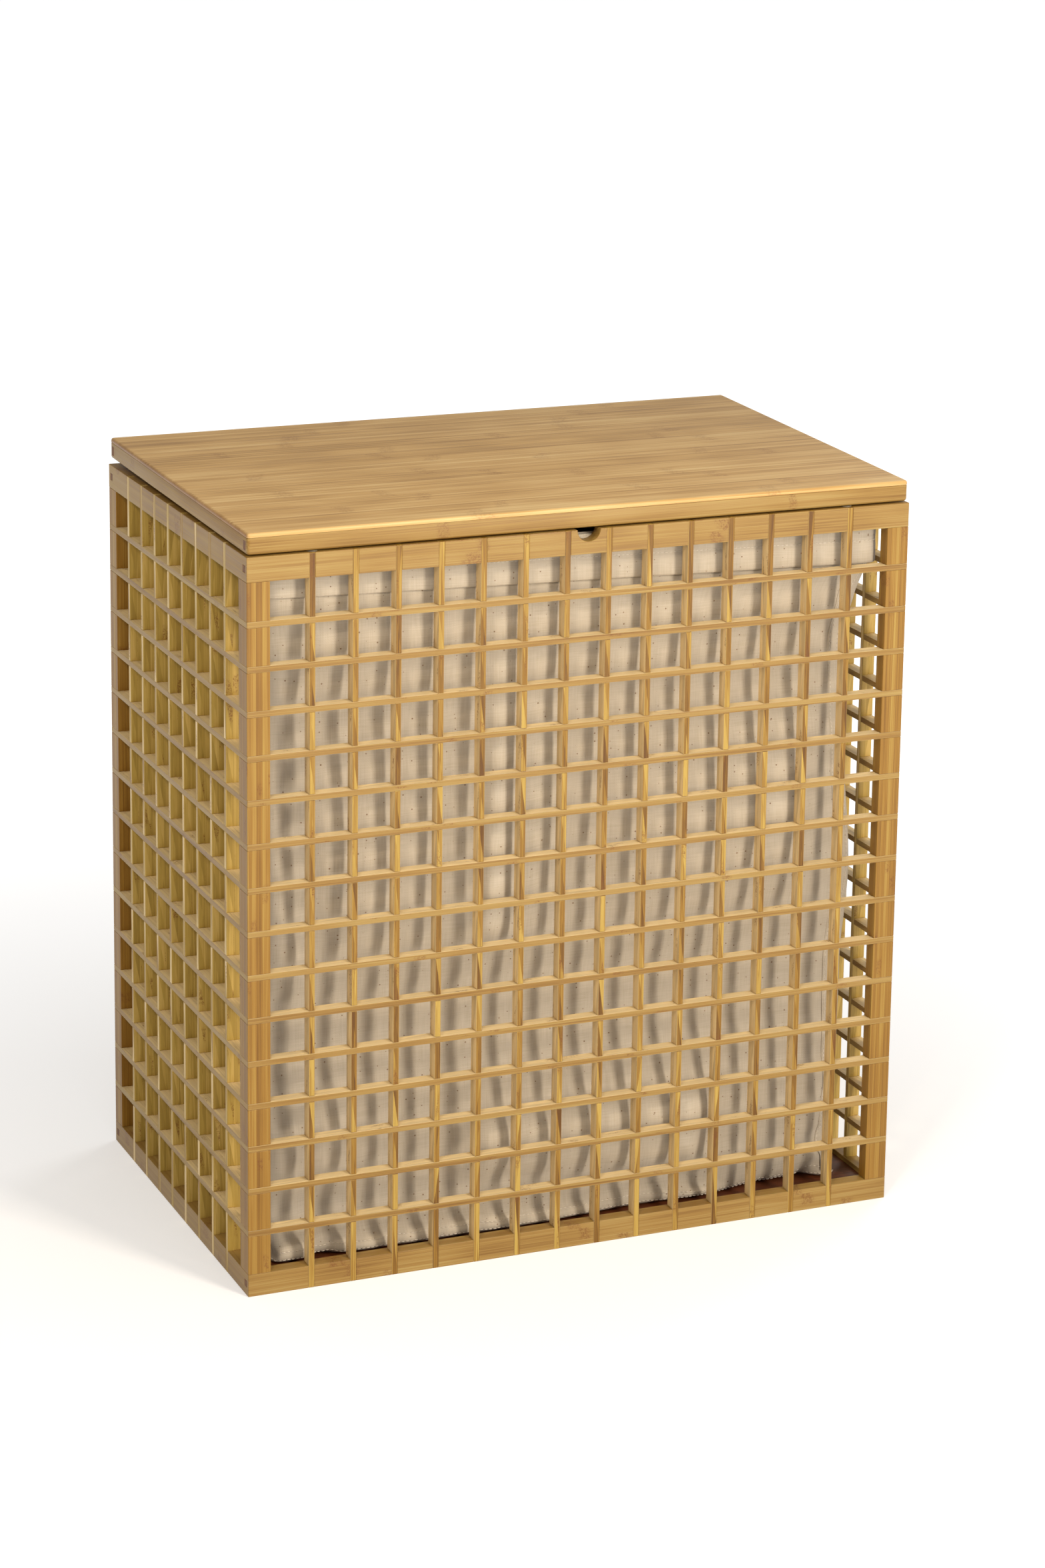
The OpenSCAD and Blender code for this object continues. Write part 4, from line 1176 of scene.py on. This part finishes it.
class HAMPER_OT_liner(bpy.types.Operator):
    """Makes the hanging canvas bag with its cuff, corner seams, stitching and tapes"""

    bl_idname = "hamper.liner"
    bl_label = "Liner"

    def execute(self, context):
        liner = context.scene.hamper.liner
        cloth = canvas("cotton_linen_canvas", (liner.cloth_dark, liner.cloth_light), liner.speck, 0.9, 0.85)
        top, base = liner.top / MM - 1.2, liner.base / MM
        bag, wall, places = self.make_bag(liner, cloth, top, base)
        cuff = self.make_cuff(liner, cloth, wall)
        seams, seam_rows = self.make_corner_seams(liner, cloth, wall, places)
        thread = spun_thread("spun_cotton_thread", liner.thread, 0.8)
        stitching = self.make_stitching(liner, thread, wall, seam_rows)
        loops = self.make_tape(liner, "loop_tape", "liner_loop_strips", True)
        self.make_tape(liner, "hook_tape", "frame_hook_strips", False)
        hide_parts("liner_front", "liner_back", "liner_left", "liner_right", "liner_base")
        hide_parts("liner_cuff")
        return {"FINISHED"}

    def make_bag(self, liner, cloth, top, base):
        """The bag's walls and base as one sheet, relaxed, the reader of its wall, and how far
        round its four corners are."""
        long_count, short_count, rows = 70, 42, 78
        columns, around = bag_ring(liner.half_width / MM, liner.half_depth / MM, liner.corner / MM,
                                   long_count, short_count)
        points = []
        for r in range(rows):
            z = base + (top - base) * r / (rows - 1)
            points.extend(bag_wall_point(column, z, top) for column in columns)
        ring = len(columns)
        faces, corners = grid_faces(rows, ring, wrap_columns=True)
        distances = [column[0] for column in columns] + [around]
        cut = [(distances[c], base + (top - base) * r / (rows - 1)) for r, c in corners]
        edge = points[:ring]
        inside = bag_base_points([Vector(p) for p in edge], long_count, short_count, base)
        first = len(points)
        points.extend(inside)
        side_starts = (long_count, long_count + short_count, 2 * long_count + short_count)

        def base_index(i, j):
            """The point of the base grid at a column and row, shared with the wall at its edges."""
            if j == 0:
                return i % ring
            if j == short_count:
                return side_starts[1] + long_count - i
            if i == long_count:
                return side_starts[0] + j
            if i == 0:
                return side_starts[2] + short_count - j
            return first + (j - 1) * (long_count - 1) + i - 1

        for j in range(short_count):
            for i in range(long_count):
                around_square = ((i, j), (i, j + 1), (i + 1, j + 1), (i + 1, j))
                quad = [base_index(*place) for place in around_square]
                faces.append(quad)
                cut.extend((points[k][0], points[k][1] - 400) for k in quad)
        bag = new_piece("canvas_bag", points, faces, cloth)
        set_cloth_map(bag.data, cut)
        pinned_row = int(rows * 0.93)
        held = {1.0: list(range(pinned_row * ring, rows * ring)) + list(range(ring)),
                0.9: list(range(first, len(points)))}
        relaxed = relax_cloth(bag, held, liner.slack, 16, 7 * MM)
        limit_x, limit_y = liner.half_width + 3 * MM, liner.half_depth + 3 * MM
        for vertex, place in zip(bag.data.vertices, relaxed):
            vertex.co = (min(max(place.x, -limit_x), limit_x), min(max(place.y, -limit_y), limit_y),
                         max(place.z, liner.base - 0.4 * MM))
        smoothed(bag)
        final = [vertex.co / MM for vertex in bag.data.vertices[:rows * ring]]
        wall = BagWall(final, rows, distances[:-1], around)
        return bag, wall, [distances[start] for start in (0, *side_starts)]

    def make_cuff(self, liner, cloth, wall):
        """The folded cuff over the bag's top edge, with a hem, a pinched seam and soft waves."""
        top = liner.top / MM
        count = 360
        verts = []
        lengths = []
        for c in range(count):
            s = wall.around * c / count
            foot, outward = wall.at(s, 0.999)
            outward = Vector((outward.x, outward.y, 0)).normalized()
            low = cuff_low(foot.x)
            seam = low + CUFF_SEAM_RISE
            wave = max(0.9 * ripple(8, s / 34) + 0.5 * ripple(9, s / 13), -0.2)

            def hang(z):
                """How far the cuff waves out at a height: more towards its lower edge."""
                return wave * smoothstep(seam, low, z) + cuff_pucker(s) * smoothstep(9, 0, abs(z - seam))

            outside = [(1.25, top - 0.5), (1.5, top - 1.6), (1.6, top - 6), (1.6, seam + 4),
                       (1.5, seam + 1.2), (1.05, seam), (1.5, seam - 1.2), (1.7, seam - 4),
                       (1.75, seam - 10), (1.8, low + 2.2), (1.7, low + 0.8), (1.3, low + 0.15), (0.9, low)]
            inside = [(0.55, low + 0.4), (0.4, low + 2.2), (0.4, seam - 7), (-0.55, seam - 5),
                      (-0.75, seam - 3.8), (-0.7, seam - 1.2), (-0.4, seam), (-0.7, seam + 1.2),
                      (-0.75, seam + 6), (-0.75, top - 1.6), (-0.5, top - 0.5), (0.1, top - 0.05),
                      (0.8, top - 0.05)]
            profile = outside + inside
            if not lengths:
                walked = 0.0
                for a, b in zip(profile, profile[1:] + profile[:1]):
                    lengths.append(walked)
                    walked += math.dist(a, b)
                lengths.append(walked)
            for place, (out, z) in enumerate(profile):
                swing = hang(z) if place < len(outside) + 3 else 0.0
                point = foot + outward * (out + swing)
                verts.append((point.x, point.y, z))
        faces, corners = grid_faces(count, len(profile), wrap_rows=True, wrap_columns=True)
        cuff = new_piece("canvas_cuff", verts, faces, cloth)
        set_cloth_map(cuff.data, [(wall.around * r / count, lengths[c] + 600) for r, c in corners])
        smoothed(cuff)
        return cuff

    def make_corner_seams(self, liner, cloth, wall, sides):
        """The folded seams beside the bag's four upright corners, and their stitch rows."""
        width = liner.seam / MM
        verts = []
        faces = []
        cut = []
        rows = []
        steps = 96
        section = [(0.0, -0.3), (0.15, 0.6), (0.7, 0.85), (width * 0.3, 0.95), (width * 0.7, 0.95),
                   (width - 0.7, 0.85), (width - 0.15, 0.6), (width, -0.3), (width * 0.5, -0.4)]
        for side in sides:
            start = side - 3
            first = len(verts)
            lines = {2.0: [], width - 2.0: []}
            for i in range(steps):
                v = 0.012 + 0.925 * i / (steps - 1)
                wander = 0.5 * ripple(11, start / 50, v * 9)
                for across, out in section:
                    point, outward = wall.at(start - across - wander, v)
                    verts.append(point + outward * out)
                    cut.append((start + across, 1200 + v * 540))
                for across, line in lines.items():
                    point, outward = wall.at(start - across - wander, v)
                    line.append((point + outward * 0.95, outward))
            for face in grid_faces(steps, len(section), wrap_columns=True)[0]:
                faces.append([first + k for k in face[::-1]])
            rows.extend(lines.values())
        seams = new_piece("bag_corner_seams", verts, faces, cloth)
        set_cloth_map(seams.data, [cut[k] for face in faces for k in face])
        smoothed(seams)
        return seams, rows

    def make_stitching(self, liner, thread, wall, seam_rows):
        """Every visible row of stitches: the cuff's, the corner seams' and the two at the base."""
        length, pitch = liner.stitch / MM, liner.stitch_pitch / MM
        rows = list(seam_rows)
        count = 420
        for reach, facing in ((1.15, 1), (-0.55, -1)):
            line = []
            for c in range(count + 1):
                point, outward = wall.at(wall.around * c / count, 0.999)
                outward = Vector((outward.x, outward.y, 0)).normalized()
                point = point + outward * (reach + cuff_pucker(wall.around * (c % count) / count))
                point.z = cuff_low(point.x) + CUFF_SEAM_RISE
                line.append((point, outward * facing))
            rows.append(line)
        for height in (0.006, 0.017):
            line = []
            for c in range(count + 1):
                point, outward = wall.at(wall.around * c / count, height)
                line.append((point + outward * 0.05, outward))
            rows.append(line)
        verts = []
        faces = []
        for row in rows:
            more_verts, more_faces = stitch_row(row, length, pitch, 0.28)
            faces.extend(tuple(k + len(verts) for k in face) for face in more_faces)
            verts.extend(more_verts)
        return new_piece("bag_stitching", verts, faces, thread)

    def make_tape(self, liner, name, node, pile_out):
        """One set of hook or loop tapes, in the space of their CAD strips."""
        low, high = (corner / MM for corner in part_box(node))
        hooks = not pile_out
        material = tape_pile(f"woven_nylon_{name}", liner.tape, 0.8 if hooks else 0.6, 0.75)
        verts, faces = tape_band(high.x, high.y, 1.2, low.z, high.z - low.z, 40, pile_out, 12 + hooks)
        tape = new_piece(name, verts, faces, material, smooth=False)
        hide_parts(node)
        return tape


# ---- Panel --------------------------------------------------------------------------------
OPERATORS = (
    HAMPER_OT_stage, HAMPER_OT_rails, HAMPER_OT_stiles, HAMPER_OT_slats, HAMPER_OT_lid,
    HAMPER_OT_pegs, HAMPER_OT_floor_board, HAMPER_OT_hinges, HAMPER_OT_liner,
)


class HAMPER_PT_panel(bpy.types.Panel):
    """Lists the hamper's operators"""

    bl_label = "Hamper"
    bl_idname = "HAMPER_PT_panel"
    bl_space_type = "VIEW_3D"
    bl_region_type = "UI"
    bl_category = "Hamper"

    def draw(self, context):
        for operator in OPERATORS:
            self.layout.operator(operator.bl_idname)


CLASSES = (
    HamperBambooSettings, HamperLinerSettings, HamperStageSettings, HamperSettings,
    *OPERATORS, HAMPER_PT_panel,
)


def register():
    for cls in CLASSES:
        bpy.utils.register_class(cls)
    bpy.types.Scene.hamper = bpy.props.PointerProperty(type=HamperSettings)


def unregister():
    del bpy.types.Scene.hamper
    for cls in reversed(CLASSES):
        bpy.utils.unregister_class(cls)


def main():
    """Registers the add-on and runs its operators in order."""
    register()
    for operator in OPERATORS:
        group, name = operator.bl_idname.split(".")
        getattr(getattr(bpy.ops, group), name)()


if __name__ == "__main__":
    main()
